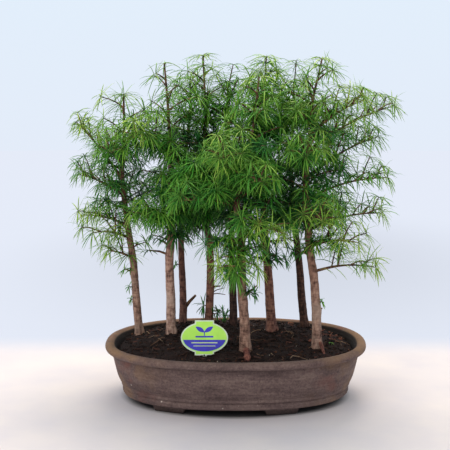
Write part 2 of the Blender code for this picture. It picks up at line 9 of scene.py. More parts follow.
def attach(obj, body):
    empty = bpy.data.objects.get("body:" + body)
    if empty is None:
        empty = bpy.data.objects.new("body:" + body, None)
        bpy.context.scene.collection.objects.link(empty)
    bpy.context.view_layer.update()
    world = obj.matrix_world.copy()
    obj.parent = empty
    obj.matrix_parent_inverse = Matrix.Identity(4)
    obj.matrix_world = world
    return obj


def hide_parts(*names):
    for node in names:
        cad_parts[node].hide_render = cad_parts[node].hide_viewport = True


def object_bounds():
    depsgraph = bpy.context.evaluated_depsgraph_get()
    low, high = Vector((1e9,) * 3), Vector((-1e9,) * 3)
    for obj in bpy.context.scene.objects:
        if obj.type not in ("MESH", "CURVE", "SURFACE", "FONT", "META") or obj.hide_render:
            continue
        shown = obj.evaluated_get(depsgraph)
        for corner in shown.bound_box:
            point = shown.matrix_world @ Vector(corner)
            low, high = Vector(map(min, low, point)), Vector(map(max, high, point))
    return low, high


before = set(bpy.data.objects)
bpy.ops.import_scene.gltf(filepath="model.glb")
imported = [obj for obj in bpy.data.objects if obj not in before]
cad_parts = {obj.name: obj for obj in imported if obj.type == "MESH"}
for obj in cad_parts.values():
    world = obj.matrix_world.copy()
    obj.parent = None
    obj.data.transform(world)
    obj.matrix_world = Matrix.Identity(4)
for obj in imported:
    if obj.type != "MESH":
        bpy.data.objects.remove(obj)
cadLow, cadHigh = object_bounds()
up = Vector((0, 0, 1))
goldenTurn = 2.4  # radians from one needle to the next round a stem
print("frame loaded:", len(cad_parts), "nodes")

# shading: most of these add one node, to the tree of the output they are given, and give its output


def linear(colour):
    parts = [int(colour[place:place + 2], 16) / 255 for place in (1, 3, 5)]
    return (*[part / 12.92 if part < 0.0405 else ((part + 0.055) / 1.055) ** 2.4 for part in parts], 1)


# Adds a node. An input is a plain value, a hex colour or another node's output; stops are a ramp's colours.
def addNode(tree, kind, inputs=None, stops=(), **settings):
    node = tree.nodes.new("ShaderNode" + kind)
    for name, value in settings.items():
        setattr(node, name, value)
    for name, value in (inputs or {}).items():
        if isinstance(value, bpy.types.NodeSocket):
            tree.links.new(value, node.inputs[name])
        else:
            node.inputs[name].default_value = linear(value) if isinstance(value, str) else value
    for extra in stops[2:]:
        node.color_ramp.elements.new(1)
    for index, (place, colour) in enumerate(stops):
        element = node.color_ramp.elements[index]
        element.position = place
        element.color = linear(colour)
    return node


def noiseOf(place, scale, detail, roughness=0.5):
    inputs = {"Vector": place, "Scale": scale, "Detail": detail, "Roughness": roughness}
    return addNode(place.id_data, "TexNoise", inputs).outputs["Fac"]


# Takes a value's range from low to high over to the range from start to end.
def spread(value, low, high, start=0, end=1, kind="LINEAR"):
    inputs = {"Value": value, "From Min": low, "From Max": high, "To Min": start, "To Max": end}
    return addNode(value.id_data, "MapRange", inputs, interpolation_type=kind).outputs["Result"]


def ramp(value, *stops):
    return addNode(value.id_data, "ValToRGB", {"Fac": value}, stops).outputs["Color"]


def blend(share, first, second, kind="MIX"):
    inputs = {"Fac": share, "Color1": first, "Color2": second}
    return addNode(first.id_data, "MixRGB", inputs, blend_type=kind).outputs["Color"]


def reckon(operation, *values):
    return addNode(values[0].id_data, "Math", dict(enumerate(values)), operation=operation).outputs["Value"]


def stretch(place, scale, shift=(0, 0, 0)):
    inputs = {"Vector": place, "Location": shift, "Scale": scale}
    return addNode(place.id_data, "Mapping", inputs).outputs["Vector"]


def lengthOf(way):
    return addNode(way.id_data, "VectorMath", {0: way}, operation="LENGTH").outputs["Value"]


def attribute(place, name):
    return addNode(place.id_data, "Attribute", attribute_name=name).outputs["Fac"]


def axes(place):
    return addNode(place.id_data, "SeparateXYZ", {"Vector": place}).outputs


def newMaterial(name, roughness, specular):
    material = bpy.data.materials.new(name)
    material.use_nodes = True
    tree = material.node_tree
    shader = tree.nodes["Principled BSDF"]
    shader.inputs["Roughness"].default_value = roughness
    shader.inputs["Specular IOR Level"].default_value = specular
    return material, shader, addNode(tree, "TexCoord").outputs["Object"]


# Gives a surface its colour and, if a depth is given, its relief as a bump.
def paint(shader, colour, relief=None, strength=1, depth=0):
    tree = colour.id_data
    tree.links.new(colour, shader.inputs["Base Color"])
    if depth:
        bump = addNode(tree, "Bump", {"Height": relief, "Strength": strength, "Distance": depth})
        tree.links.new(bump.outputs["Normal"], shader.inputs["Normal"])


# A smooth material with a mottled colour and no relief.
def mottled(name, roughness, specular, scale, detail, *stops):
    material, shader, place = newMaterial(name, roughness, specular)
    paint(shader, ramp(noiseOf(place, scale, detail), *stops))
    return material


# modelling: selection, drawing up, modifiers, finishing and copies


def deselectAll():
    if bpy.context.object and bpy.context.object.mode != "OBJECT":
        bpy.ops.object.mode_set(mode="OBJECT")
    bpy.ops.object.select_all(action="DESELECT")


def pick(piece):
    deselectAll()
    piece.select_set(True)
    bpy.context.view_layer.objects.active = piece


def selectMesh():
    bpy.ops.mesh.select_all(action="SELECT")


def editAll():
    bpy.ops.object.mode_set(mode="EDIT")
    selectMesh()


def endEdit():
    bpy.ops.object.mode_set(mode="OBJECT")


def fixPlace():
    bpy.ops.object.transform_apply(location=True, rotation=True, scale=True)


def newObject(name, data):
    thing = bpy.data.objects.new(name, data)
    bpy.context.scene.collection.objects.link(thing)
    return thing


def newDisc(sides, radius=1, place=(0, 0, 0)):
    deselectAll()
    bpy.ops.mesh.primitive_circle_add(vertices=sides, radius=radius, fill_type="NGON", location=place)
    return bpy.context.object


def newBlock(size, place=(0, 0, 0), turn=0):
    deselectAll()
    bpy.ops.mesh.primitive_cube_add(size=1, location=place, rotation=(0, 0, radians(turn)), scale=size)
    fixPlace()
    return bpy.context.object


def newBall(radius):
    deselectAll()
    bpy.ops.mesh.primitive_ico_sphere_add(subdivisions=1, radius=radius)
    return bpy.context.object


# Draws the selected ring on by one step, and scales it there.
def drawRing(step, across, deep, middle):
    bpy.ops.mesh.extrude_region_move(TRANSFORM_OT_translate={"value": step})
    bpy.ops.transform.resize(value=(across, deep, 1), center_override=middle)


def modify(piece, kind, **settings):
    modifier = piece.modifiers.new(kind.lower(), kind)
    for name, value in settings.items():
        setattr(modifier, name, value)
    pick(piece)
    bpy.ops.object.modifier_apply(modifier=modifier.name)


def joinSolid(piece, other, operation="UNION"):
    modify(piece, "BOOLEAN", object=other, operation=operation, solver="EXACT")
    bpy.data.objects.remove(other)


# Closes the open end of a drawn-up shape, and turns its faces outwards.
def closeEnd(piece):
    pick(piece)
    bpy.ops.object.mode_set(mode="EDIT")
    bpy.ops.mesh.select_mode(type="EDGE")
    bpy.ops.mesh.select_all(action="DESELECT")
    bpy.ops.mesh.select_non_manifold()
    bpy.ops.mesh.edge_face_add()
    selectMesh()
    bpy.ops.mesh.normals_make_consistent(inside=False)
    endEdit()


def closeAndRound(piece):
    closeEnd(piece)
    modify(piece, "SUBSURF", levels=1, render_levels=1)


def smooth(piece, angle=35):
    pick(piece)
    bpy.ops.object.shade_smooth_by_angle(angle=radians(angle))


def finishPiece(piece, name, material, slot, *replaced):
    pick(piece)
    fixPlace()
    piece.data.transform(Matrix.Scale(0.001, 4))
    piece.name = piece.data.name = name
    piece.data.materials.clear()
    piece.data.materials.append(material)
    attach(piece, "root")
    if replaced:
        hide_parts(*replaced)


def meshPiece(name, points, faces, shades):
    mesh = bpy.data.meshes.new(name)
    mesh.from_pydata(points, [], faces)
    for key, values in shades.items():
        mesh.attributes.new(key, "FLOAT", "POINT").data.foreach_set("value", values)
    mesh.update()
    return newObject(name, mesh)


def takeApart(shape):
    corners = np.array([vertex.co for vertex in shape.data.vertices])
    faces = [list(face.vertices) for face in shape.data.polygons]
    bpy.data.objects.remove(shape)
    return corners, faces


def repeatFaces(faces, corners, count):
    return [[corner + len(corners) * step for corner in face] for step in range(count) for face in faces]


# A mesh of many copies of one modelled shape, each with its own place, and its own shade to colour it.
def copies(name, shape, places, shades):
    corners, faces = takeApart(shape)
    points = []
    for place in places:
        turned = np.array(place.to_3x3())
        points.append(corners @ turned.T + np.array(place.translation))
    shade = {"shade": np.repeat(shades, len(corners))}
    return meshPiece(name, np.concatenate(points), repeatFaces(faces, corners, len(places)), shade)


# Round stems drawn as one curve of many strands, each point with its own radius, then made a closed mesh.
def newTwigs(strands, detail):
    deselectAll()
    bpy.ops.curve.primitive_nurbs_path_add()
    drawn = bpy.context.object
    drawn.data.splines.clear()
    drawn.data.bevel_depth = 1
    drawn.data.bevel_resolution = detail
    drawn.data.use_fill_caps = True
    for points, radii in strands:
        line = drawn.data.splines.new("POLY")
        line.points.add(len(points) - 1)
        for spot, place, radius in zip(line.points, points, radii):
            spot.co = (*place, 1)
            spot.radius = radius
    bpy.ops.object.convert(target="MESH")
    drawn = bpy.context.object
    editAll()
    bpy.ops.mesh.remove_doubles(threshold=0.001)
    bpy.ops.mesh.normals_make_consistent(inside=False)
    endEdit()
    smooth(drawn, 60)
    return drawn


# camera and light

view = {
    "target": (-0.016, 0, 0.264), "distance": 1.5, "pitch": 8, "lens": 79.16,
    "sky": ((0.42, "#e6ecf9"), (0.54, "#e4f0fd"), (0.8, "#edf4fd")), "skyStrength": 0.985, "roomShade": 0.76,
    "farFloor": "#e7edfa", "floorRadius": 6,
    # middle, reach and depth of the shade on the far floor
    "shadow": ((0.12, 1.2), (0.9, 1.3), 0.16),
    # half sizes of the painted shadow under the tray, and the light that comes there
    "paintedTrayShadow": (0.17, 0.116, 0.1),
    "lights": (
        ("windowLight", (0.05, 0.75, 1.85), (0, 0, 0.2), 1.2, 29, "#fff1e2"),
        ("roomLight", (-0.9, -1.5, 1.2), (0, 0, 0.25), 1.0, 11, "#fff6ee"),
    ),
}


def lookAt(thing, target):
    thing.rotation_euler = (Vector(target) - thing.location).to_track_quat("-Z", "Y").to_euler()


def setCamera():
    camera = newObject("camera", bpy.data.cameras.new("camera"))
    pitch = radians(view["pitch"])
    camera.location = Vector(view["target"]) + view["distance"] * Vector((0, -cos(pitch), sin(pitch)))
    lookAt(camera, view["target"])
    camera.data.lens = view["lens"]
    camera.data.sensor_width = 36
    camera.data.clip_end = 50
    bpy.context.scene.camera = camera
    bpy.context.scene.view_settings.view_transform = "Standard"


# The wall behind is bright, and the room in front of the planting dimmer.
def roomFade(way):
    bright = view["skyStrength"]
    return spread(way, -0.75, 0.1, bright * view["roomShade"], bright, "SMOOTHSTEP")


def setLight():
    world = bpy.data.worlds.new("paleStudio")
    bpy.context.scene.world = world
    world.use_nodes = True
    tree = world.node_tree
    tree.nodes.clear()
    way = axes(addNode(tree, "TexCoord").outputs["Generated"])
    sky = ramp(spread(way["Z"], -1, 1), *view["sky"])
    light = addNode(tree, "Background", {"Color": sky, "Strength": roomFade(way["Y"])})
    addNode(tree, "OutputWorld", {"Surface": light.outputs["Background"]})
    for name, place, target, size, power, colour in view["lights"]:
        lamp = newObject(name, bpy.data.lights.new(name, "AREA"))
        lamp.data.size = size
        lamp.data.energy = power
        lamp.data.color = linear(colour)[:3]
        lamp.location = place
        lookAt(lamp, target)


def paleTable():
    # painted board, almost white, that fades into the pale wall behind it
    material, shader, place = newMaterial("paleTable", 0.75, 0.3)
    tree = material.node_tree
    behind = spread(axes(place)["Y"], 0.2, 0.36, kind="SMOOTHSTEP")
    far = spread(lengthOf(place), 0.42, 1.3, kind="SMOOTHSTEP")
    far = reckon("MAXIMUM", far, behind)
    # painted shadow: the floor under the tray is painted near black
    long, wide, dim = view["paintedTrayShadow"]
    under = lengthOf(stretch(place, (1 / long, 1 / wide, 0)))
    under = spread(under, 0.93, 1.05, 1 - dim, 0)
    tone = ramp(noiseOf(place, 9, 5), (0.3, "#d6d0d2"), (0.7, "#e2dad6"))
    paint(shader, blend(under, tone, "#0c0b0b"))
    way = addNode(tree, "VectorMath", {0: place}, operation="NORMALIZE").outputs["Vector"]
    # painted shadow of the planting on the glowing far floor and wall
    (x, y), (long, wide), depth = view["shadow"]
    shade = lengthOf(stretch(place, (1 / long, 1 / wide, 0), (-x / long, -y / wide, 0)))
    shade = spread(shade, 0.1, 1, 1 - depth, 1, "SMOOTHSTEP")
    shade = reckon("MULTIPLY", roomFade(axes(way)["Y"]), shade)
    glow = addNode(tree, "Emission", {"Color": view["farFloor"], "Strength": shade})
    both = addNode(tree, "MixShader", {0: far, 1: shader.outputs["BSDF"], 2: glow.outputs["Emission"]})
    tree.links.new(both.outputs["Shader"], tree.nodes["Material Output"].inputs["Surface"])
    return material


def setStage():
    setCamera()
    setLight()
    floor = newDisc(64, view["floorRadius"])
    floor.name = "floor"
    floor.data.materials.append(paleTable())
    print("stage set")


setStage()

# soil line and trees, as the frame has them

trayShape = {
    "halfLength": 200, "halfWidth": 145, "roundness": 2.35, "sides": 96,
    # inset from the rim, height: foot ring, body with two turned lines, rolled lip, then down the inside
    "outside": ((33, 10), (29, 10.5), (26.6, 12.4), (26.1, 15.5), (26.3, 18.9), (27.5, 20.2), (27.4, 21),
                (25.3, 22.1), (24.5, 24), (24.2, 25.9), (24.9, 27), (24.4, 28), (22.4, 29.8), (18.6, 38.5),
                (15.5, 52), (13.3, 61), (13.7, 62.3), (12.6, 63.6), (11.9, 71.4), (12.8, 73.4), (12.5, 74.6),
                (9.6, 75.4), (4.6, 76.4), (1.8, 78.3), (0.4, 81), (0.5, 84), (2.4, 86.6), (6, 87.9)),
    "inside": ((10, 87.9), (13.6, 86.4), (16, 83), (19, 76), (26, 40), (33, 21), (39, 18)),
    "feet": ((-95, -82, -20), (65, -92, 11), (95, 82, -20), (-65, 92, 11)),
    "footLength": 54, "footWidth": 24, "footTop": 13, "footTaper": 0.82, "footEdge": 1.6,
    "drainX": 95, "drainRadius": 11,
    # how dark the inside is painted, as painted shade, and from which height to which; the same painted shade
    # on the underside and feet below a height
    "paintedTrayShade": (0.93, 11, 85.5), "paintedUnderShade": (0.75, 9.5),
}

soilShape = {
    "edge": 78, "rise": 15, "backRise": 10, "endDrop": 5, "halfLength": 181, "halfWidth": 126,
    # inset from the rim and height up the side; rings over the top, the last as a share; height of lumps
    "side": ((39.5, 18.3), (33.5, 21.5), (26.5, 40), (22.4, 60), (19.4, 76)),
    "rings": 30, "lastRing": 0.03, "lumps": 3.4,
}

# Branches are height, bearing from +X, reach and rise; stubs are short bare twigs, the same way, and tufts
# are twigs with a few needles of the length that comes last. Tiers are heights of wide rosettes round a stem.
# Sprouts are rosettes of their own (place, needle length, age and painted light, and count), brooms are
# sprouts that hang down, and threads are bare thin twigs. Thin is how full a leader is, and stubRadii are
# those of a thick stub.
forest = (
    {"flare": 8.5, "trunk": 6.9, "leader": 378, "tip": 4,
     "path": ((-152, 45), (-156, 43, 143), (-159, 41, 200), (-167, 39, 255), (-171, 38, 290),
              (-175, 36, 340), (-172, 34, 378), (-170, 32, 420), (-170, 30, 456)),
     "branches": ((330, 172, 72, 88), (305, 190, 70, 34), (258, 168, 72, 14), (238, 225, 72, 16),
                  (352, 262, 82, 26), (285, 95, 84, 26), (206, 200, 40, 14)),
     "stubs": ((182, 200, 10, 5),),
     "tufts": ((183, 195, 16, 6, 17), (158, 205, 11, 3, 15), (139, 195, 9, 1, 15), (222, 20, 24, 8, 24))},
    {"flare": 9.6, "trunk": 8.0, "leader": 400, "tip": 16,
     "path": ((-100, 20), (-100, 18, 149), (-102, 16, 200), (-99, 14, 233), (-97, 11, 300),
              (-99, 9, 377), (-101, 7, 437), (-105, 5, 490)),
     "branches": ((262, 245, 84, 20), (318, 300, 88, 22), (372, 228, 80, 28)),
     "stubs": ((215, 184, 32, 8), (228, 172, 20, 12)),
     "tufts": ((236, 190, 30, 12, 24), (238, 20, 26, 6, 26)), "thin": 0.45,
     "sprouts": ((-134, 13, 223, 20, 0.25, 9), (-122, 19, 240, 18, 0.25, 8))},
    {"flare": 8.0, "trunk": 6.3, "leader": 390, "tip": 11,
     "path": ((-84, 85), (-84, 86, 146), (-86, 88, 186), (-87, 89, 232), (-85, 91, 292),
              (-78, 92, 372), (-71, 94, 435), (-71, 95, 476)),
     "branches": ((285, 118, 84, 28), (352, 92, 84, 30)),
     "stubs": ((113, 350, 21, 25),), "stubRadii": (4, 3, 2.1),
     "tufts": ((186, 195, 10, 2, 12), (236, 330, 26, 8, 26), (452, 180, 24, 30, 34), (456, 325, 22, 32, 34))},
    {"flare": 8.6, "trunk": 6.9, "leader": 408, "tip": 23,
     "path": ((-42, 80), (-40, 79, 147), (-39, 78, 200), (-41, 76, 234), (-49, 75, 261),
              (-52, 74, 286), (-47, 72, 392), (-46, 71, 423), (-49, 70, 497)),
     "branches": ((252, 88, 88, 22), (335, 62, 84, 26), (262, 255, 78, 16)),
     "stubs": ((150, 325, 20, 6),),
     "tufts": ((106, 325, 16, 4, 17), (111, 352, 22, 2, 16), (122, 192, 10, -1, 26), (228, 350, 26, 4, 28),
               (246, 200, 30, 6, 30)),
     "sprouts": ((-44, 70, 520, 13, 1.3, 12),), "threads": ((141, 345, 24, 11), (140, 355, 25, 0))},
    {"flare": 7.4, "trunk": 6.6, "leader": 385, "tip": 7,
     "path": ((-2, 60), (-3, 62, 139), (-5, 65, 195), (-6, 68, 255), (-8, 70, 326),
              (-11, 72, 404), (-12, 75, 472)),
     "branches": ((296, 55, 92, 22), (318, 262, 66, 22)),
     "stubs": (),
     "tufts": ((107, 190, 12, 4, 18), (232, 250, 30, 2, 30), (214, 20, 22, 6, 24), (466, 30, 10, 40, 34),
               (455, 200, 20, 34, 32), (450, 320, 22, 34, 32))},
    {"flare": 9.8, "trunk": 8.0, "leader": 388, "tip": 16,
     "path": ((15, -72), (12, -71, 140), (9, -69, 168), (8, -68, 234), (7, -67, 263),
              (1, -65, 302), (10, -64, 346), (21, -63, 392), (27, -61, 432), (31, -60, 470)),
     "branches": ((236, 262, 62, -22), (300, 196, 92, 10), (262, 308, 96, 10), (350, 248, 92, 26),
                  (322, 290, 88, 22)),
     "stubs": ((104, 185, 12, 5), (163, 355, 21, 22)),
     "tufts": ((174, 345, 19, 0, 20), (218, 210, 26, -6, 34)), "tiers": (336, 384, 434), "thin": 0.6,
     "sprouts": ((-5, -84, 214, 50, 0.52, 34),), "brooms": ((-2, -80, 212, 52, 0.58, 40),)},
    {"flare": 11.0, "trunk": 8.0, "leader": 412, "tip": 22,
     "path": ((57, 28), (53, 27, 158), (49, 26, 208), (45, 25, 248), (44, 23, 298),
              (42, 22, 361), (43, 21, 437), (45, 20, 494)),
     "branches": ((262, 352, 96, 12), (300, 212, 80, 22), (396, 345, 74, 30)),
     "stubs": (),
     "tufts": ((232, 10, 30, 4, 30), (226, 190, 26, 6, 28), (203, 195, 26, 8, 28), (205, 275, 14, 7, 26),
               (202, 350, 28, 6, 26), (208, 320, 18, 8, 24))},
    {"flare": 8.8, "trunk": 7.0, "leader": 392, "tip": 4,
     "path": ((112, 70), (107, 71, 137), (103, 73, 189), (98, 74, 231), (93, 76, 271),
              (88, 77, 341), (91, 79, 420), (92, 80, 474)),
     "branches": ((262, 32, 104, 14), (318, 72, 96, 24), (372, 22, 104, 28)),
     "stubs": (),
     "tufts": ((226, 185, 28, 8, 26), (214, 345, 24, 4, 24), (468, 60, 8, 44, 34), (455, 190, 24, 38, 32),
               (450, 330, 26, 38, 32))},
    {"flare": 9.4, "trunk": 7.7, "leader": 412, "tip": 16,
     "path": ((122, -42), (120, -42, 143), (117, -43, 182), (112, -43, 215), (108, -43, 239),
              (106, -44, 269), (102, -44, 284), (102, -44, 337), (106, -44, 395),
              (111, -45, 455), (120, -45, 496)),
     "branches": ((200, 356, 92, 8), (238, 322, 84, 14), (262, 8, 112, 24), (308, 352, 118, 34),
                  (338, 20, 118, 60), (378, 8, 128, 66), (276, 280, 92, 10), (402, 325, 88, 52),
                  (356, 264, 92, 22)),
     "stubs": ((140, 350, 9, 5),),
     "tufts": ((152, 350, 9, 3, 14), (224, 190, 26, 8, 26)), "sprouts": ((145, -20, 86, 7, 0.75, 7),)},
)


def oval(inset, share=1.0):
    power = 2 / trayShape["roundness"]
    ring = []
    for step in range(trayShape["sides"]):
        turn = 2 * pi * step / trayShape["sides"]
        x = (trayShape["halfLength"] - inset) * abs(cos(turn)) ** power
        y = (trayShape["halfWidth"] - inset) * abs(sin(turn)) ** power
        ring.append(Vector((x if cos(turn) > 0 else -x, y if sin(turn) > 0 else -y, 0)) * share)
    return ring


# Draws an oval wall up, ring by ring, from pairs of inset from the tray's rim and height. It stays in edit.
def drawOval(profile):
    piece = newDisc(trayShape["sides"])
    inset, height = profile[0]
    for vertex, point in zip(piece.data.vertices, oval(inset)):
        vertex.co = point + up * height
    editAll()
    for (before, low), (after, high) in zip(profile, profile[1:]):
        across = (trayShape["halfLength"] - after) / (trayShape["halfLength"] - before)
        deep = (trayShape["halfWidth"] - after) / (trayShape["halfWidth"] - before)
        drawRing((0, 0, high - low), across, deep, (0, 0, high))
    return piece


# The size that lies a share of the way from the first of a pair to its last.
def between(pair, share):
    first, last = pair
    return first + (last - first) * share


def clamp(share):
    return min(1.0, max(0.0, share))


# 0 in the middle of an oval and 1 on its edge.
def ovalShare(x, y, halfLength, halfWidth):
    power = trayShape["roundness"]
    return abs(x / halfLength) ** power + abs(y / halfWidth) ** power


def soilShare(x, y):
    return ovalShare(x, y, soilShape["halfLength"], soilShape["halfWidth"])


def soilHeight(x, y):
    rise = soilShape["rise"] + soilShape["backRise"] * y / trayShape["halfWidth"]
    ends = soilShape["endDrop"] * (x / trayShape["halfLength"]) ** 2
    return soilShape["edge"] + rise * max(0.0, 1 - soilShare(x, y)) ** 0.6 - ends


def trunkPath(tree):
    x, y = tree["path"][0]
    return [Vector((x, y, soilHeight(x, y)))] + [Vector(point) for point in tree["path"][1:]]


def atHeight(path, height):
    for low, high in zip(path, path[1:]):
        if low.z <= height <= high.z:
            return low.lerp(high, (height - low.z) / (high.z - low.z))
    return path[-1].copy() if height > path[-1].z else path[0].copy()


# A way by its bearing in radians from +X, and its rise.
def compass(bearing, rise=0.0):
    return Vector((cos(bearing), sin(bearing), rise))


def branchPoint(tree, branch, share):
    height, bearing, reach, rise = branch
    along = compass(radians(bearing))
    bow = 0.07 * reach * sin(pi * share)
    return atHeight(trunkPath(tree), height) + along * reach * share + up * (rise * share + bow)


def shortTwig(tree, twig):
    return [branchPoint(tree, twig[:4], share) for share in (0, 0.5, 1)]


# tray

# grog and grit in the clay: spots to a metre, their size as a share of the gap, colour and strength
grog = ((34, 0.05, "#c9bbb0", 0.9), (90, 0.07, "#a39184", 0.5), (210, 0.16, "#3a2b27", 0.6))


def stoneware():
    # unglazed stoneware, thrown and left raw: dull brown clay with grog, turned lines and kiln blushes
    material, shader, place = newMaterial("unglazedStoneware", 0.86, 0.35)
    tree = material.node_tree
    x, y, z = axes(place)
    cloud = noiseOf(stretch(place, (1, 1, 3.5)), 20, 7, 0.62)
    sand = noiseOf(place, 280, 5, 0.7)
    clay = ramp(blend(0.5, cloud, sand), (0.36, "#493937"), (0.5, "#65524e"), (0.64, "#7f6b62"))
    # the lip's top is painted a lighter warm tan in patches: partly painted highlight on the top, partly the
    # clay's warmer tone at the ends and the back
    ends = spread(reckon("ABSOLUTE", x), 0.09, 0.18)
    warm = reckon("MAXIMUM", ends, spread(y, -0.06, 0.06, 0.2))
    lipHighlightAndTone = reckon("MULTIPLY", spread(z, 0.08, 0.0875, 0, 0.7), warm)
    lipHighlightAndTone = reckon("MULTIPLY", lipHighlightAndTone, spread(cloud, 0.38, 0.56, 0.45))
    clay = blend(lipHighlightAndTone, clay, "#947052")
    patch = noiseOf(place, 24, 4)
    for start, full, colour in ((0.47, 0.6, "#92704a"), (0.45, 0.34, "#8a4f3f")):
        blush = reckon("MULTIPLY", spread(patch, start, full, 0, 0.45), ends)
        clay = blend(blush, clay, colour)
    for scale, size, colour, strength in grog:
        spots = addNode(tree, "TexVoronoi", {"Vector": place, "Scale": scale}).outputs["Distance"]
        clay = blend(spread(spots, size * 0.6, size, strength, 0), clay, colour)
    # painted shade inside the tray and on its underside and feet
    clay = blend(attribute(place, "paintedShade"), clay, "#0f0a08")
    lines = addNode(tree, "TexWave", {"Vector": place, "Scale": 62, "Distortion": 2.2, "Detail": 3},
                    bands_direction="Z").outputs["Fac"]  # turned lines 5 mm apart
    relief = reckon("MULTIPLY_ADD", noiseOf(place, 480, 5), 2, lines)
    relief = reckon("MULTIPLY_ADD", cloud, 5, relief)
    paint(shader, clay, relief, 0.55, 0.0006)
    return material


def addFoot(tray, x, y, turn):
    top, taper = trayShape["footTop"], trayShape["footTaper"]
    foot = newBlock((trayShape["footLength"], trayShape["footWidth"], top), (x, y, top / 2), turn)
    bpy.ops.object.mode_set(mode="EDIT")
    bpy.ops.mesh.select_mode(type="VERT")
    bpy.ops.mesh.select_all(action="DESELECT")
    endEdit()
    for vertex in foot.data.vertices:
        vertex.select = vertex.co.z < 1
    bpy.ops.object.mode_set(mode="EDIT")
    bpy.ops.transform.resize(value=(taper, taper, 1), center_override=(x, y, 0))
    selectMesh()
    bpy.ops.mesh.bevel(offset=trayShape["footEdge"], segments=3, affect="EDGES")
    endEdit()
    joinSolid(tray, foot)


def drillDrain(tray, side):
    deselectAll()
    bpy.ops.mesh.primitive_cylinder_add(vertices=32, radius=trayShape["drainRadius"], depth=30,
                                        location=(side * trayShape["drainX"], 0, 14))
    joinSolid(tray, bpy.context.object, "DIFFERENCE")


# Paints shade inside the tray, and on the underside and feet below a height.
def paintedTrayShade(tray):
    insets, heights = zip(*reversed(trayShape["inside"]))
    dark, bottom, top = trayShape["paintedTrayShade"]
    underShadeShare, reach = trayShape["paintedUnderShade"]
    paintedShade = []
    for vertex in tray.data.vertices:
        x, y, z = vertex.co
        inset = np.interp(z, heights, insets) - 2
        inner = ovalShare(x, y, trayShape["halfLength"] - inset, trayShape["halfWidth"] - inset) < 1
        paintedShade.append(dark if inner and bottom < z < top else underShadeShare if z < reach else 0)
    tray.data.attributes.new("paintedShade", "FLOAT", "POINT").data.foreach_set("value", paintedShade)


def makeTray():
    tray = drawOval(trayShape["outside"] + trayShape["inside"])
    endEdit()
    closeAndRound(tray)
    for vertex in tray.data.vertices:  # a hand-thrown wall is never quite true
        wobble = noise.noise(vertex.co / 55) * 0.9 + noise.noise(vertex.co / 18) * 0.35
        out = Vector((vertex.co.x, vertex.co.y, 0)).normalized()
        if vertex.co.z > 12:
            vertex.co += (out + up * 0.5) * wobble * 0.8
    for foot in trayShape["feet"]:
        addFoot(tray, *foot)
    for side in (-1, 1):
        drillDrain(tray, side)
    paintedTrayShade(tray)
    smooth(tray)
    finishPiece(tray, "thrown_tray", stoneware(), "stoneware", "tray")
    print("tray made")


makeTray()

# soil, bark chips, crumbs and fibres

litter = {
    # how many, size of one in mm, and its scale: smallest, largest and most common
    "chips": 560, "chipSize": (9, 3.4, 1.3), "chipScale": (0.35, 1.35, 0.55), "flakeScale": (0.25, 0.65),
    "crumbs": 1900, "crumbSize": 1.5, "crumbScale": (0.4, 2.1, 0.7),
    "grit": 22, "gritSize": 0.8, "gritScale": (0.5, 1.2),
    "fibres": 62, "fibreRadii": (0.25, 0.35, 0.55), "fibreLength": (8, 38, 14), "fibreBend": 1.1,
    # how far out litter may lie, as a share of the soil
    "edge": 0.96, "crumbEdge": 0.97, "chipEdge": 0.93,
    # drifts of bright flakes: middle, half sizes, how many and their shades
    "drifts": ((150, 24, 26, 34, 34, 0.6, 0.9), (84, 104, 17, 5, 14, 0.8, 1)),
    # pale twigs: x, y and height over the soil of each point
    "paleTwigs": (((-128, -36, 4), (-119, -31, 5), (-112, -24, 8), (-108, -15, 5)),
                  ((44, -36, 1), (50, -33, 3.5), (57, -30, 6)),
                  ((76, -22, 4.5), (83, -24, 3.5), (90, -26, 1.5))),
}


def pottingSoil():
    # damp peat and bark mix: almost black crumb that swallows light, with warmer bark dust
    material, shader, place = newMaterial("dampPottingSoil", 0.95, 0.25)
    crumb = noiseOf(place, 330, 8, 0.75)
    dark = ramp(crumb, (0.35, "#0e0908"), (0.55, "#231613"), (0.72, "#3f2920"))
    warm = ramp(crumb, (0.35, "#140b09"), (0.6, "#36211a"), (0.75, "#573729"))
    paint(shader, blend(noiseOf(place, 40, 3), dark, warm), crumb, 0.9, 0.003)
    return material


def shadedMaterial(name, grainSize, roughness, *stops):
    # plant litter: each bit has its own shade, broken up by its own fine grain
    material, shader, place = newMaterial(name, roughness, 0.3)
    grain = noiseOf(place, 1000 / grainSize, 4)
    shift = reckon("MULTIPLY_ADD", grain, 0.35, -0.175)
    shade = reckon("ADD", attribute(place, "shade"), shift)
    paint(shader, ramp(shade, *stops), grain, 0.6, 0.0006)
    return material


def soilLump(x, y):
    spot = Vector((x, y, 0))
    return soilShape["lumps"] * (noise.fractal(spot / 17, 0.9, 2.1, 4) + 0.25 * noise.noise(spot / 4))


def makeSoil():
    soil = drawOval(soilShape["side"])
    top = soilShape["side"][-1][1]
    shares = np.linspace(1, soilShape["lastRing"], soilShape["rings"])
    for wide, narrow in zip(shares, shares[1:]):
        drawRing((0, 0, 0.01), narrow / wide, narrow / wide, (0, 0, top))
    endEdit()
    for vertex in soil.data.vertices:
        x, y, z = vertex.co
        if z > top - 1:
            edge = clamp(12 * (1 - soilShare(x, y)))
            vertex.co.z = soilHeight(x, y) + soilLump(x, y) * edge
    closeAndRound(soil)
    smooth(soil, 60)
    finishPiece(soil, "soil_bed", pottingSoil(), "potting_soil", "soil")
    print("soil made")


def overSoil(x, y, lift):
    return Vector((x, y, soilHeight(x, y) + soilLump(x, y) + lift))


# A place on the soil, away from the tray's wall.
def onSoil(draw, limit=litter["chipEdge"]):
    while True:
        x = draw.uniform(-176, 176)
        y = draw.uniform(-122, 122)
        if soilShare(x, y) < limit:
            return overSoil(x, y, 0)


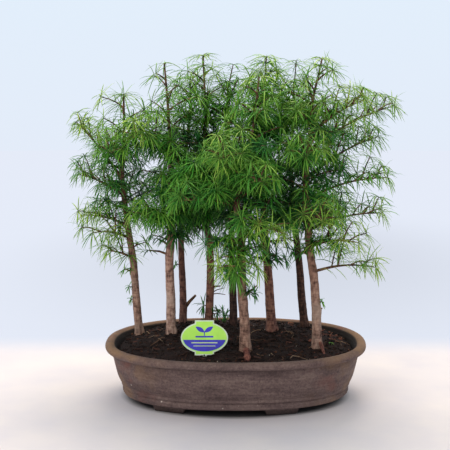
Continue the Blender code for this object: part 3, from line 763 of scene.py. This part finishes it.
# A turn any way round, then tilted about the axes given, each by no more than its limit.
def tumble(draw, **limits):
    turn = Matrix.Rotation(draw.uniform(0, 2 * pi), 4, "Z")
    for axis, limit in limits.items():
        turn = turn @ Matrix.Rotation(draw.uniform(-limit, limit), 4, axis)
    return turn


def makeChips(draw):
    chip = newBlock(litter["chipSize"])
    editAll()
    bpy.ops.mesh.subdivide(number_cuts=1)
    endEdit()
    for vertex in chip.data.vertices:  # torn bark: ragged ends and an uneven face
        vertex.co += Vector((1.6, 0.6, 0.45)) * noise.noise(vertex.co * 0.9) * 1.6
        vertex.co.y *= 1 - 0.35 * abs(vertex.co.x) / litter["chipSize"][0]
    places = []
    shades = []
    for step in range(litter["chips"]):
        size = draw.triangular(*litter["chipScale"])
        turn = tumble(draw, Y=0.45, X=0.5)
        shape = Matrix.Diagonal((size * draw.uniform(0.7, 1.3), size, size, 1))
        places.append(Matrix.Translation(onSoil(draw) + up * 0.6) @ turn @ shape)
        shades.append(draw.betavariate(1.4, 4))
    for left, back, halfLong, halfWide, count, dull, bright in litter["drifts"]:
        for step in range(count):
            x, y = draw.gauss(left, halfLong / 2), draw.gauss(back, halfWide / 2)
            if soilShare(x, y) > litter["edge"]:
                continue
            turn = Matrix.Translation(overSoil(x, y, 1.4)) @ tumble(draw, X=0.5)
            places.append(turn @ Matrix.Scale(draw.uniform(*litter["flakeScale"]), 4))
            shades.append(draw.uniform(dull, bright))
    bark = shadedMaterial("shreddedBark", 2.5, 0.9, (0.05, "#150d0a"), (0.3, "#2f1d17"), (0.55, "#4f3027"),
                          (0.8, "#7d4430"), (1, "#a8744e"))
    finishPiece(copies("chips", chip, places, shades), "bark_chips", bark, "potting_soil")


def makeCrumbs(draw):
    crumb = newBall(litter["crumbSize"])
    for vertex in crumb.data.vertices:
        vertex.co *= 1 + 0.35 * noise.noise(vertex.co * 3)
    places = []
    shades = []
    for step in range(litter["crumbs"]):
        size = draw.triangular(*litter["crumbScale"])
        turn = draw.uniform(0, 2 * pi)
        turn = Matrix.Rotation(turn, 4, (draw.random(), draw.random(), draw.random() + 0.1))
        shape = Matrix.Diagonal((size, size * draw.uniform(0.6, 1), size * draw.uniform(0.5, 0.9), 1))
        places.append(Matrix.Translation(onSoil(draw, litter["crumbEdge"]) + up * 0.3) @ turn @ shape)
        shades.append(draw.betavariate(1.5, 4))
    peat = shadedMaterial("peatCrumb", 1.2, 0.95, (0, "#0d0807"), (0.35, "#2a1a14"), (0.7, "#543524"),
                          (1, "#7d5236"))
    finishPiece(copies("crumbs", crumb, places, shades), "soil_crumbs", peat, "potting_soil")


def makeGrit(draw):
    places = []
    for step in range(litter["grit"]):
        spot = Matrix.Translation(onSoil(draw) + up * 0.9)
        places.append(spot @ Matrix.Scale(draw.uniform(*litter["gritScale"]), 4))
    shades = [draw.uniform(0.2, 1) for place in places]
    stone = shadedMaterial("paleGrit", 1, 0.8, (0, "#8a7d6c"), (1, "#d9d2c2"))
    grit = copies("grit", newBall(litter["gritSize"]), places, shades)
    finishPiece(grit, "soil_grit", stone, "potting_soil")


def makeFibres(draw):
    strands = []
    for step in range(litter["fibres"]):
        start = onSoil(draw)
        turn = draw.uniform(0, 2 * pi)
        length = draw.triangular(*litter["fibreLength"])
        bend = litter["fibreBend"] * draw.uniform(-1, 1)
        points = []
        for share in np.linspace(0, 1, 6):
            spot = start + compass(turn + bend * share) * length * share
            if soilShare(spot.x, spot.y) > litter["edge"]:
                break
            points.append(overSoil(spot.x, spot.y, 0.5 + 2.2 * draw.random() * sin(pi * share)))
        if len(points) > 2:
            strands.append((points, [draw.choice(litter["fibreRadii"])] * len(points)))
    for twig in litter["paleTwigs"]:
        strands.append(([overSoil(*point) for point in twig], (0.8, 1, 0.9, 0.6)))
    # old roots and straw: dull tan strands, some bleached pale
    fibre = mottled("driedFibre", 0.8, 0.3, 28, 2, (0.4, "#3a271e"), (0.55, "#6e503c"), (0.7, "#bda284"))
    finishPiece(newTwigs(strands, 0), "soil_fibres", fibre, "potting_soil")


def makeLitter():
    draw = random.Random(41)
    makeChips(draw)
    makeCrumbs(draw)
    makeGrit(draw)
    makeFibres(draw)
    print("litter strewn")


makeSoil()
makeLitter()

# trunks

trunkShape = {"sides": 16, "step": 8, "below": 6, "end": 2.4, "taper": 0.7, "flareHeight": 20,
              "relief": 0.9, "reliefSize": 3.2, "lobes": 0.16, "knot": 0.3}

# Each bark, the trees that have it, and its deep, middle, pale and dusty tones.
barks = (
    # Trees 3, 5 and 8 have darker copies of the bark: painted shade on trunks that stand in shade.
    ("larchBark", (1, 9), "#553c32", "#957363", "#ba9782", "#af9886"),
    ("ruddyLarchBark", (4, 7), "#402820", "#80564a", "#a4755f", "#94705f"),
    ("shadedLarchBark", (8,), "#241713", "#4b332a", "#6d4d3f", "#5d463b"),
    ("rubbedLarchBark", (2,), "#614940", "#ab8776", "#cdab97", "#c4ab9b"),
    ("dullLarchBark", (6,), "#4b342b", "#876656", "#ab8874", "#9f8778"),
    ("umberLarchBark", (3,), "#34221c", "#694840", "#8b6353", "#7b5f52"),
    ("darkestLarchBark", (5,), "#1c1210", "#3a2822", "#573e34", "#493831"),
)
# trees whose bark is painted darker as shade
shadedTrees = (5, 8)

# Roots that lie bare on the soil: x, y, height over it and radius of each point.
surfaceRoots = (
    ((15, -76, 6, 4), (15.2, -81, 5, 5.2), (15.6, -86, 3.5, 5), (15.8, -89.5, 3, 2.8), (16, -93, 3.2, 4.4),
     (16.2, -98, 2.4, 5.4), (16.4, -102.5, 0.8, 4.2), (16.5, -105.5, -1, 2)),
    ((125, -46, 10, 3.2), (127.5, -50, 6.5, 3), (129, -55, 4, 2.7), (129.6, -61, 1.8, 2.3),
     (130.4, -68, 0, 1.6), (131, -73, -1.5, 0.8)),
)


def barkMaterial(name, deep, mid, pale, dusty):
    # young conifer bark: thin papery scales, pinkish tan where rubbed, faint rings and darker cracks
    material, shader, place = newMaterial(name, 0.85, 0.3)
    rings = noiseOf(stretch(place, (1, 1, 3.2)), 75, 5, 0.65)
    cracks = noiseOf(stretch(place, (1, 1, 0.3)), 320, 4)
    both = reckon("MULTIPLY", reckon("ADD", rings, cracks), 0.5)
    dust = spread(noiseOf(place, 26, 3), 0.52, 0.68, 0, 0.55)
    tone = blend(dust, ramp(both, (0.38, deep), (0.49, mid), (0.6, pale)), dusty)
    # higher up the bark is painted darker and redder: painted shade under the crown, with the redder tone of
    # younger wood
    upperShadeAndRedness = spread(axes(place)["Z"], 0.14, 0.27, 0, 0.75)
    paint(shader, blend(upperShadeAndRedness, tone, "#bf968a", "MULTIPLY"), both, 0.8, 0.0022)
    return material


def trunkRadius(tree, height):
    shape = trunkShape
    ground = trunkPath(tree)[0].z
    share = (height - ground) / (tree["leader"] - ground)
    slim = between((shape["end"], tree["trunk"]), (1 - clamp(share)) ** shape["taper"])
    low = 1 - clamp((height - ground) / shape["flareHeight"])
    return slim + (tree["flare"] - tree["trunk"]) * low ** 2


# Gives a drawn trunk root lobes at the soil, a collar under each branch and a slow wander.
def shapeTrunk(trunk, number, tree):
    shape = trunkShape
    path = trunkPath(tree)
    for vertex in trunk.data.vertices:
        height = vertex.co.z
        middle = atHeight(path, height)
        middle.z = height
        out = vertex.co - middle
        if out.length < 0.1:
            continue
        bearing = np.arctan2(out.y, out.x)
        low = 1 - clamp((height - path[0].z) / (1.4 * shape["flareHeight"]))
        lobes = sin(3 * bearing + number) + 0.6 * sin(5 * bearing + 2 * number)
        swell = shape["lobes"] * low ** 1.5 * lobes
        for knot, facing, reach, rise in tree["branches"] + tree["stubs"]:
            near = exp(-((height - knot) / 5) ** 2)
            swell += shape["knot"] * near * max(0.0, cos(bearing - radians(facing))) ** 2
        swell += 0.1 * noise.noise(Vector((number * 7, bearing, height / 16)))
        vertex.co += out * swell


def makeTrunk(number, tree, material):
    shape = trunkShape
    path = trunkPath(tree)
    ground = path[0].z
    count = round((tree["leader"] - ground + shape["below"]) / shape["step"])
    heights = np.linspace(ground - shape["below"], tree["leader"], count + 1)
    place = atHeight(path, ground) - up * shape["below"]
    radius = trunkRadius(tree, heights[0])
    trunk = newDisc(shape["sides"], radius, place)
    editAll()
    for height in heights[1:]:
        after = atHeight(path, height) if height > ground else Vector((path[0].x, path[0].y, height))
        grown = trunkRadius(tree, height)
        drawRing(after - place, grown / radius, grown / radius, after)
        place, radius = after, grown
    endEdit()
    fixPlace()
    shapeTrunk(trunk, number, tree)
    closeAndRound(trunk)
    relief = bpy.data.textures.new(f"barkRelief{number}", "CLOUDS")
    relief.noise_scale = shape["reliefSize"]
    relief.noise_depth = 2
    modify(trunk, "DISPLACE", texture=relief, strength=shape["relief"], texture_coords="LOCAL")
    smooth(trunk, 75)
    slot = "dark_bark" if number in shadedTrees else "bark"
    finishPiece(trunk, f"bark_trunk_{number}", material, slot, f"trunk_{number}")


def makeTrunks():
    looks = {}
    for name, numbers, *tones in barks:
        looks.update(dict.fromkeys(numbers, barkMaterial(name, *tones)))
    for number, tree in enumerate(forest, 1):
        makeTrunk(number, tree, looks[number])
    strands = [([Vector((x, y, soilHeight(x, y) + lift)) for x, y, lift, radius in root],
                [radius for x, y, lift, radius in root]) for root in surfaceRoots]
    root = barkMaterial("rootBark", "#2c1613", "#6b3f36", "#94604f", "#6d4a40")
    finishPiece(newTwigs(strands, 2), "surface_roots", root, "bark")
    print("trunks grown")


makeTrunks()

# shoots and needles

shootShape = {
    "arch": 0.08, "spurLength": 3.2, "spurRadius": 1.1,
    # shoots along the inner trunk: height of the first, mm between them, their length and rise
    "innerFrom": 240, "innerGap": (9, 14), "innerLength": (24, 70), "innerRise": (0.1, 0.6),
    # radii: at the root, at the end, and along threads and stubs
    "leaderRoot": 2.6, "branchRoot": 2.5, "sideRoot": 1.4, "twigRoot": 1.3, "leaderEnd": 1.3, "end": 0.7,
    "threadRadii": (1, 0.8, 0.5), "stubRadii": (2.2, 1.7, 1.1),
}

# How each kind of shoot is clothed: mm between rosettes, needles in one, their size, mm between single
# needles, and the share of its rosettes that are missing where the crown is open.
clothing = {
    "leader": {"gap": 26, "count": 26, "size": 1.0, "single": 7, "bare": 0.5},
    "branch": {"gap": 19, "count": 23, "size": 0.95, "single": 7, "bare": 0.85},
    "riser": {"gap": 23, "count": 22, "size": 0.92, "single": 7, "bare": 1},
    "shoot": {"gap": 19, "count": 22, "size": 0.92, "single": 7, "bare": 1},
    "inner": {"gap": 16, "count": 20, "size": 0.95, "single": 9, "bare": 0},
    "tuft": {"gap": 30, "count": 14, "size": 1.0, "single": 4.5, "bare": 0},
}

# Shoots on a leader: share of its length, turn in degrees, upward and length.
leaderShoots = (
    (0.2, 250, 0.45, 42), (0.4, 0, 0.45, 50), (0.8, 140, 0.45, 38), (0.06, 70, 0.5, 48), (0.3, 160, 0.7, 40),
    (0.5, 300, 0.6, 38), (0.64, 60, 0.7, 30), (0.9, 230, 0.6, 20),
)
# Shoots on a branch: share of its reach, forward, sideways, upward, length and kind. The frame has the first
# four; the rest only grow where the crown is close.
branchShoots = (
    (0.4, 0.1, 1, 0.5, 40, "shoot"), (0.4, 0.25, -0.4, 1, 44, "riser"), (0.6, 0.75, -1, 0.2, 34, "shoot"),
    (0.8, 0.75, 1, 0.2, 28, "shoot"), (0.2, 0.3, -1, 0.4, 34, "shoot"), (0.3, 0.3, 0.5, 1, 36, "riser"),
    (0.5, 0.75, 1, 0.3, 30, "shoot"), (0.68, 0.5, 0.4, 1, 34, "riser"), (0.74, 0.8, -1, 0.4, 24, "shoot"),
    (0.86, 0.6, -0.3, 1, 24, "riser"),
)

needleShape = {
    # length and half width in the middle of the planting and at its edge, droop, and how level a needle bends
    "length": (47, 37), "width": (0.98, 0.74), "droop": (0.85, 1.3), "bend": 0.5,
    # where the crown starts to be open and where it is quite open, as shares of the way out
    "open": (0.35, 0.8),
    # degrees over a rosette's plane, from its outer to its inner needles, and the same for a broom
    "rises": (-2, 30), "broomRises": (20, 82),
    # needle length, age and painted light, and count of a tier
    "tier": (50, 0.55, 34),
    # share of the length, half width and keel as shares of the width
    "stations": ((0, 0.5, 0.3), (0.16, 0.95, 0.45), (0.45, 1, 0.45), (0.76, 0.8, 0.35)),
}

# Age and painted light of needles by the kind of their shoot, and what being outward, high and sparse adds to
# it; inner shoots start darkest as painted shade, and the shares for outward, high and sparse add painted
# light.
needleAgeAndLightShares = {"inner": 0.02, "tuft": 0.16, "other": 0.29, "outward": 0.23, "high": 0.38, "sparse": 0.34}


def sideShoot(start, way, length):
    count = max(3, round(length / 8))
    return [start + way * length * share + up * length * shootShape["arch"] * sin(pi * share)
            for share in np.linspace(0, 1, count + 1)]


# 0 in the middle of the forest, 1 at the edge of its crown.
def outward(place):
    return min(1.0, ((place.x / 250) ** 2 + (place.y / 175) ** 2) ** 0.5)


# This year's long shoots, at the crown's edge and top, carry single needles and hardly a rosette.
def openness(place):
    low, high = needleShape["open"]
    edge = outward(place) + max(0.0, place.z - 430) / 160
    return clamp((edge - low) / (high - low))


# The low outer branches are thinly grown.
def sparse(place):
    return openness(place) * clamp((330 - place.z) / 60)


# Every green shoot of a tree as (CAD node it belongs to, its points, its root radius, its kind).
def planShoots(number, tree):
    shape = shootShape
    path = trunkPath(tree)
    top = path[-1]
    start = atHeight(path, tree["leader"])
    count = max(4, round((top.z - start.z) / 9))
    leader = [atHeight(path, height) for height in np.linspace(start.z, top.z, count)]
    leader.append(top + (leader[-1] - leader[-2]).normalized() * tree["tip"])
    shoots = [(f"leader_{number}", leader, shape["leaderRoot"], "leader")]
    draw = random.Random(number)
    turn = draw.uniform(0, 360)
    for share, angle, rise, length in leaderShoots:
        wanted = compass(radians(turn + angle), rise).normalized()
        root = atHeight(path, start.z + (top.z - start.z) * share)
        shoots.append((f"leader_{number}", sideShoot(root, wanted, length), shape["sideRoot"], "riser"))
    for count, branch in enumerate(tree["branches"], 1):
        node = f"spray_{number}_{count}"
        draw = random.Random(100 * number + count)
        first = draw.choice((-1, 1))
        steps = max(6, round(branch[2] / 8))
        line = [branchPoint(tree, branch, share) for share in np.linspace(0, 1, steps + 1)]
        shoots.append((node, line, shape["branchRoot"], "branch"))
        along = (line[-1] - line[steps // 4]).normalized()
        across = up.cross(along).normalized()
        for index, (share, forward, sideways, upward, length, kind) in enumerate(branchShoots):
            upward += draw.uniform(-0.1, 0.25)
            wanted = (along * forward + across * sideways * first + up * upward).normalized()
            line = sideShoot(branchPoint(tree, branch, share), wanted, length * draw.uniform(0.85, 1.15))
            if draw.random() < sparse(line[-1]) and index > 3:
                continue
            shoots.append((node, line, shape["twigRoot"], kind))
    draw = random.Random(1000 + number)
    height = shape["innerFrom"] + draw.uniform(0, 12)
    bearing = draw.uniform(0, 2 * pi)
    while height < tree["leader"]:
        bearing += goldenTurn
        wanted = compass(bearing, draw.uniform(*shape["innerRise"])).normalized()
        line = sideShoot(atHeight(path, height), wanted, draw.uniform(*shape["innerLength"]))
        shoots.append((f"inner_{number}", line, shape["sideRoot"], "inner"))
        height += draw.uniform(*shape["innerGap"])
    for tuft in tree["tufts"]:
        shoots.append((f"inner_{number}", shortTwig(tree, tuft), shape["twigRoot"], "tuft"))
    return shoots


# Needles are longest in the middle of the planting.
def needleLength(place):
    return between(needleShape["length"], outward(place))


# From 0 for old needles in the shade to 1 for this year's, with painted light added where a needle is
# outward, high and sparse.
def needleAgeAndLight(place, kind, draw):
    ageAndLight = needleAgeAndLightShares.get(kind, needleAgeAndLightShares["other"])
    ageAndLight += needleAgeAndLightShares["outward"] * outward(place) + needleAgeAndLightShares["high"] * max(0.0, (place.z - 300) / 220)
    return ageAndLight + needleAgeAndLightShares["sparse"] * sparse(place) + draw.uniform(-0.12, 0.12)


# Notes one needle as where it springs, its way, length, droop, age and painted light, roll and half width.
def addNeedle(needles, place, way, length, ageAndLight, draw):
    droop = draw.uniform(*needleShape["droop"])
    width = between(needleShape["width"], openness(place))
    ageAndLight += draw.uniform(-0.1, 0.1)
    needles.append((*place, *way, length, droop, ageAndLight, draw.uniform(-0.6, 0.6), width))


def addRosette(needles, place, axis, size, ageAndLight, draw, count, rises=needleShape["rises"]):
    side = axis.orthogonal().normalized()
    other = axis.cross(side)
    turn = draw.uniform(0, 2 * pi)
    for step in range(count):
        turn += goldenTurn
        inner = step / count
        rise = radians(between(rises, inner ** 1.5) + draw.uniform(-5, 5))
        way = axis * sin(rise) + (side * cos(turn) + other * sin(turn)) * cos(rise)
        addNeedle(needles, place, way, size * draw.uniform(0.88, 1.05) * (1 - 0.25 * inner), ageAndLight, draw)


# Rosettes on spurs along a shoot, a fuller one at its tip, and single needles between them.
def clothe(needles, strands, points, kind, size, ageAndLight, draw, fullness=1.0):
    shape = clothing[kind]
    lengths = [(after - before).length for before, after in zip(points, points[1:])]
    total = sum(lengths)

    def along(distance):
        for before, after, length in zip(points, points[1:], lengths):
            if distance <= length:
                return before.lerp(after, distance / length), (after - before).normalized()
            distance -= length
        return points[-1], (points[-1] - points[-2]).normalized()

    first = max(5.0, total * 0.14) if kind == "branch" else 6.0
    distance = first + draw.uniform(0, 6)
    while distance < total - 7:
        place, way = along(distance)
        distance += shape["gap"] * draw.uniform(0.8, 1.2)
        if draw.random() < openness(place) * shape["bare"]:
            continue
        around = Vector((draw.uniform(-1, 1), draw.uniform(-1, 1), 0))
        axis = (up * 0.75 + way * 0.35 + around * (0.15 if kind == "leader" else 0.45)).normalized()
        tip = place + axis * shootShape["spurLength"]
        radius = shootShape["spurRadius"]
        strands.append(([place, tip], [radius, radius * 0.8]))
        addRosette(needles, tip, axis, size * draw.uniform(0.85, 1.05), ageAndLight, draw,
                   round(shape["count"] * (1.1 - 0.35 * outward(tip)) * fullness))
    place, way = along(total)
    addRosette(needles, place, (way + up * 0.35).normalized(), size * draw.uniform(0.85, 1), ageAndLight + 0.15, draw,
               round(shape["count"] * (1.1 - 0.6 * openness(place)) * fullness))
    distance = first
    turn = draw.uniform(0, 2 * pi)
    while distance < total:
        place, way = along(distance)
        across = way.cross(up)
        across = across.normalized() if across.length > 0.2 else way.orthogonal().normalized()
        turn += goldenTurn
        across = Matrix.Rotation(turn, 3, way) @ across
        needle = across + way * draw.uniform(0.5, 0.7)
        needle.z = min(0.5, max(-0.2, needle.z + 0.28))
        addNeedle(needles, place, needle.normalized(), size * draw.uniform(0.86, 1.0), ageAndLight, draw)
        distance += shape["single"] * (1 - 0.46 * openness(place)) * (1 + 0.15 * sparse(place)) / fullness


# The needle that all are copied from: a slim three-sided blade along Z, one long and one half wide.
def modelNeedle():
    stations = needleShape["stations"]
    blade = newDisc(3)
    share, width, keel = stations[0]
    for vertex, (x, y) in zip(blade.data.vertices, ((-1, 0), (1, 0), (0, -1))):
        vertex.co = (x * width, y * keel, 0)
    editAll()
    for before, after in zip(stations, stations[1:]):
        drawRing((0, 0, after[0] - before[0]), after[1] / before[1], after[2] / before[2], (0, 0, after[0]))
    bpy.ops.mesh.extrude_region_move(TRANSFORM_OT_translate={"value": (0, 0, 1 - stations[-1][0])})
    bpy.ops.mesh.merge(type="CENTER")
    endEdit()
    closeEnd(blade)
    return takeApart(blade)


# Bends a copy of the needle along its own drooping line for each row, and makes one mesh of them.
def growNeedles(name, rows, blade, material, *replaced):
    corners, faces = blade
    rows = np.array(rows)
    places, ways = rows[:, :3], rows[:, 3:6]
    lengths, droops, agesAndLight, rolls, widths = rows[:, 6:].T
    shares, station = np.unique(np.round(corners[:, 2], 4), return_inverse=True)
    level = np.maximum(np.hypot(ways[:, 0], ways[:, 1]), needleShape["bend"])
    down = np.zeros_like(ways)
    down[:, 2] = -droops * level

    def heading(share):
        bent = ways + down * share
        return bent / np.linalg.norm(bent, axis=1, keepdims=True)

    spots = [places]
    for before, after in zip(shares, shares[1:]):
        spots.append(spots[-1] + heading((before + after) / 2) * (lengths * (after - before))[:, None])
    across = np.cross(ways, (0, 0, 1)) + np.array((0.02, 0.01, 0))
    across /= np.linalg.norm(across, axis=1, keepdims=True)
    points = np.zeros((len(rows), len(corners), 3))
    for index, (x, y, share) in enumerate(corners):
        way = heading(shares[station[index]])
        face = np.cross(across, way)
        wide = across * np.cos(rolls)[:, None] + face * np.sin(rolls)[:, None]
        deep = face * np.cos(rolls)[:, None] - across * np.sin(rolls)[:, None]
        points[:, index] = spots[station[index]] + (wide * x + deep * y) * widths[:, None]
    low, high = np.array(cadLow) * 1000 + 0.4, np.array(cadHigh) * 1000 - 0.4
    inside = ((points > low) & (points < high)).all(axis=(1, 2))
    points, agesAndLight = points[inside], agesAndLight[inside]
    drawn = repeatFaces(faces, corners, len(points))
    shades = {"ageAndLight": np.repeat(agesAndLight, len(corners)), "along": np.tile(corners[:, 2], len(points))}
    foliage = meshPiece(name, points.reshape(-1, 3), drawn, shades)
    foliage.data.shade_smooth()
    finishPiece(foliage, name, material, "needles", *replaced)
    return len(points)


def needleMaterial():
    # living larch needles: soft thin blades, waxy but not shiny, yellow-green when young, blue-green in shade
    material, shader, place = newMaterial("larchNeedle", 0.5, 0.4)
    along = attribute(place, "along")
    # the needles' age and painted light: lighter at the crown's top and edges, darker as painted shade inside
    tone = ramp(attribute(place, "ageAndLight"), (0, "#0a2713"), (0.3, "#226f27"), (0.55, "#429a29"),
                (0.8, "#80b636"), (1, "#bfdc5c"))
    cool = spread(noiseOf(place, 30, 2), 0.45, 0.7, 0, 0.35)
    tips = spread(along, 0.5, 1, 0, 0.3)
    # painted shade at the needle bases, where they crowd in each rosette
    rosetteShade = spread(along, 0, 0.4, 0.5, 0)
    for mask, colour in ((cool, "#2d7a3a"), (tips, "#98c044"), (rosetteShade, "#123a17")):
        tone = blend(mask, tone, colour)
    paint(shader, tone)
    return material


# Clothes a tree. Gives its bare strands, and its needles by the node they belong to.
def dressTree(number, tree, draw):
    strands = []
    needles = {}
    sizes = iter(tuft[4] for tuft in tree["tufts"])
    for node, points, root, kind in planShoots(number, tree):
        ends = (root, shootShape["leaderEnd" if kind == "leader" else "end"])
        strands.append((points, [between(ends, share) for share in np.linspace(0, 1, len(points))]))
        tip = points[-1]
        size = next(sizes) if kind == "tuft" else needleLength(tip) * clothing[kind]["size"]
        ageAndLight = needleAgeAndLight(tip, kind, draw)
        fullness = tree.get("thin", 1) if node == f"leader_{number}" else 1
        clothe(needles.setdefault(node, []), strands, points, kind, size, ageAndLight, draw, fullness)
    inner = needles[f"inner_{number}"]
    for height in tree.get("tiers", ()):
        length, ageAndLight, count = needleShape["tier"]
        addRosette(inner, atHeight(trunkPath(tree), height), up, length, ageAndLight, draw, count)
    for *place, length, ageAndLight, count in tree.get("sprouts", ()):
        addRosette(inner, Vector(place), up, length, ageAndLight, draw, count)
    for *place, length, ageAndLight, count in tree.get("brooms", ()):
        addRosette(inner, Vector(place), -up, length, ageAndLight, draw, count, needleShape["broomRises"])
    for thread in tree.get("threads", ()):
        strands.append((shortTwig(tree, thread), shootShape["threadRadii"]))
    for stub in tree["stubs"]:
        strands.append((shortTwig(tree, stub), tree.get("stubRadii", shootShape["stubRadii"])))
    return strands, needles


def makeFoliage():
    blade = modelNeedle()
    green = needleMaterial()
    # young shoots: smooth warm brown skin, paler where it is rubbed
    brown = mottled("larchTwig", 0.7, 0.3, 120, 4, (0.35, "#2c1c15"), (0.5, "#5f4231"), (0.68, "#94704f"))
    total = 0
    for number, tree in enumerate(forest, 1):
        strands, needles = dressTree(number, tree, random.Random(500 + number))
        finishPiece(newTwigs(strands, 1), f"twigs_{number}", brown, "bark")
        for node, rows in needles.items():
            named = () if node.startswith("inner") else (node,)
            total += growNeedles("foliage_" + node, rows, blade, green, *named)
    print("needles grown:", total)


makeFoliage()

# label

labelShape = {
    "x": -46, "y": -86, "lift": 3.2, "lean": 15, "halfLength": 34.4, "halfHeight": 22.8, "thick": 1.4,
    "rim": 1.9, "tabWidth": 28, "tab": 25.4, "stakeWidth": 9, "stakeTip": 4, "stakeBottom": -50, "ink": 0.15,
    # bottom and top of each line; half sizes of a leaf, its place and each leaf's bearing; the stem's width,
    # bottom and top
    "lines": ((-8, -6.5), (-12.4, -11.3), (0.3, 2.7)), "lineInk": 0.12,
    "leaf": (7.5, 3.1), "leafPlace": (6.2, 12), "leafTurns": {-1: 148, 1: 32}, "stem": (1.3, 3, 9.4),
}


def labelPlastic(name, colour, worn):
    # printed polystyrene plant label: even and slightly glossy, with faint handling dullness
    material, shader, place = newMaterial(name, 0.32, 0.5)
    tree = material.node_tree
    dull = noiseOf(place, 60, 4)
    paint(shader, ramp(dull, (0.35, worn), (0.6, colour)))
    tree.links.new(spread(dull, 0, 1, 0.28, 0.45), shader.inputs["Roughness"])
    return material


# A flat oval in the label's own plane, with what lies beyond each cut taken off.
def labelDisc(halfLength, halfHeight, thick, cuts=()):
    disc = newDisc(72)
    editAll()
    bpy.ops.transform.resize(value=(halfLength, halfHeight, 1), center_override=(0, 0, 0))
    for place, normal in cuts:
        selectMesh()
        bpy.ops.mesh.bisect(plane_co=place, plane_no=normal, clear_outer=True, use_fill=False)
    selectMesh()
    bpy.ops.mesh.extrude_region_move(TRANSFORM_OT_translate={"value": (0, 0, thick)})
    selectMesh()
    bpy.ops.mesh.normals_make_consistent(inside=False)
    endEdit()
    return disc


# A flat bar in the label's own plane, from one height up to another.
def labelBar(width, bottom, top, thick):
    return newBlock((width, top - bottom, thick), (0, (bottom + top) / 2, thick / 2))


# Leans a part of the label back, at its lift from the plate's middle, and finishes it.
def finishLabel(piece, name, material, lift, *replaced):
    shape = labelShape
    lean = radians(shape["lean"])
    middle = soilHeight(shape["x"], shape["y"]) + shape["lift"] + shape["halfHeight"] * cos(lean)
    place = Matrix.Translation((shape["x"], shape["y"] + shape["halfHeight"] * sin(lean), middle))
    face = place @ Matrix.Rotation(radians(90 - shape["lean"]), 4, "X")
    piece.data.transform(face @ Matrix.Translation((0, 0, lift)))
    finishPiece(piece, name, material, "label_plastic", *replaced)


def makePlate(half):
    shape = labelShape
    plate = labelDisc(shape["halfLength"], shape["halfHeight"], shape["thick"])
    joinSolid(plate, labelBar(shape["tabWidth"], -shape["tab"], shape["tab"], shape["thick"]))
    stake = labelBar(shape["stakeWidth"], shape["stakeBottom"], 1 - shape["tab"], shape["thick"])
    for vertex in stake.data.vertices:
        if vertex.co.y < -shape["tab"]:
            vertex.co.x *= shape["stakeTip"] / shape["stakeWidth"]
    joinSolid(plate, stake)
    smooth(plate, 30)
    pale = labelPlastic("paleLabelPlastic", "#dcead0", "#cbdcb6")
    finishLabel(plate, "label_plate", pale, -half, "plant_label")


# Two plain pointed leaves on a short stem.
def makeLeaf():
    shape = labelShape
    long, wide = shape["leaf"]
    x, y = shape["leafPlace"]
    leaf = labelBar(*shape["stem"], shape["ink"])
    for side, turn in shape["leafTurns"].items():
        blade = labelDisc(long, wide, shape["ink"])
        for vertex in blade.data.vertices:
            vertex.co.y *= 1 - 0.55 * (abs(vertex.co.x) / long) ** 2
        tilt = Matrix.Rotation(radians(turn), 4, "Z")
        blade.data.transform(Matrix.Translation((side * x, y, 0)) @ tilt)
        joinSolid(leaf, blade)
    return leaf


def makeLabel():
    shape = labelShape
    long, high = shape["halfLength"], shape["halfHeight"]
    half, rim, ink = shape["thick"] / 2, shape["rim"], shape["ink"]
    makePlate(half)
    field = labelDisc(long - rim, high - rim, ink)
    joinSolid(field, labelBar(shape["tabWidth"] - 2 * rim, rim - shape["tab"], shape["tab"] - rim, ink))
    finishLabel(field, "label_field", labelPlastic("limeLabelPlastic", "#c2f863", "#b4ee56"), half)
    blue = labelPlastic("blueLabelPlastic", "#3a36c4", "#342fb0")
    band = labelDisc(long - 3, high - 3, ink, (((0, -3, 0), (0, 1, 0)),))
    finishLabel(band, "label_band", blue, half + ink)
    for count, (bottom, top) in enumerate(shape["lines"], 1):
        side = 22 - 3 * count
        cuts = (((0, top, 0), (0, 1, 0)), ((0, bottom, 0), (0, -1, 0)),
                ((side, 0, 0), (1, 0, 0)), ((-side, 0, 0), (-1, 0, 0)))
        line = labelDisc(long - 6.5, high - 4, shape["lineInk"], cuts)
        look = blue if bottom > 0 else labelPlastic(f"paleLine{count}", "#d4e6a0", "#c6da8c")
        finishLabel(line, f"label_line_{count}", look, half + (ink if bottom > 0 else 2 * ink))
    finishLabel(makeLeaf(), "label_leaf", blue, half + ink)
    print("label made")


makeLabel()

# drainage screens keep their frame shape


def dressScreens():
    # moulded plastic mesh: dull black, scuffed by the soil
    plastic = mottled("mouldedScreen", 0.55, 0.4, 240, 4, (0.4, "#141414"), (0.7, "#2c2a28"))
    for name in ("drain_screen_left", "drain_screen_right"):
        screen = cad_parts[name]
        screen.data.materials.clear()
        screen.data.materials.append(plastic)


dressScreens()
bpy.context.view_layer.update()
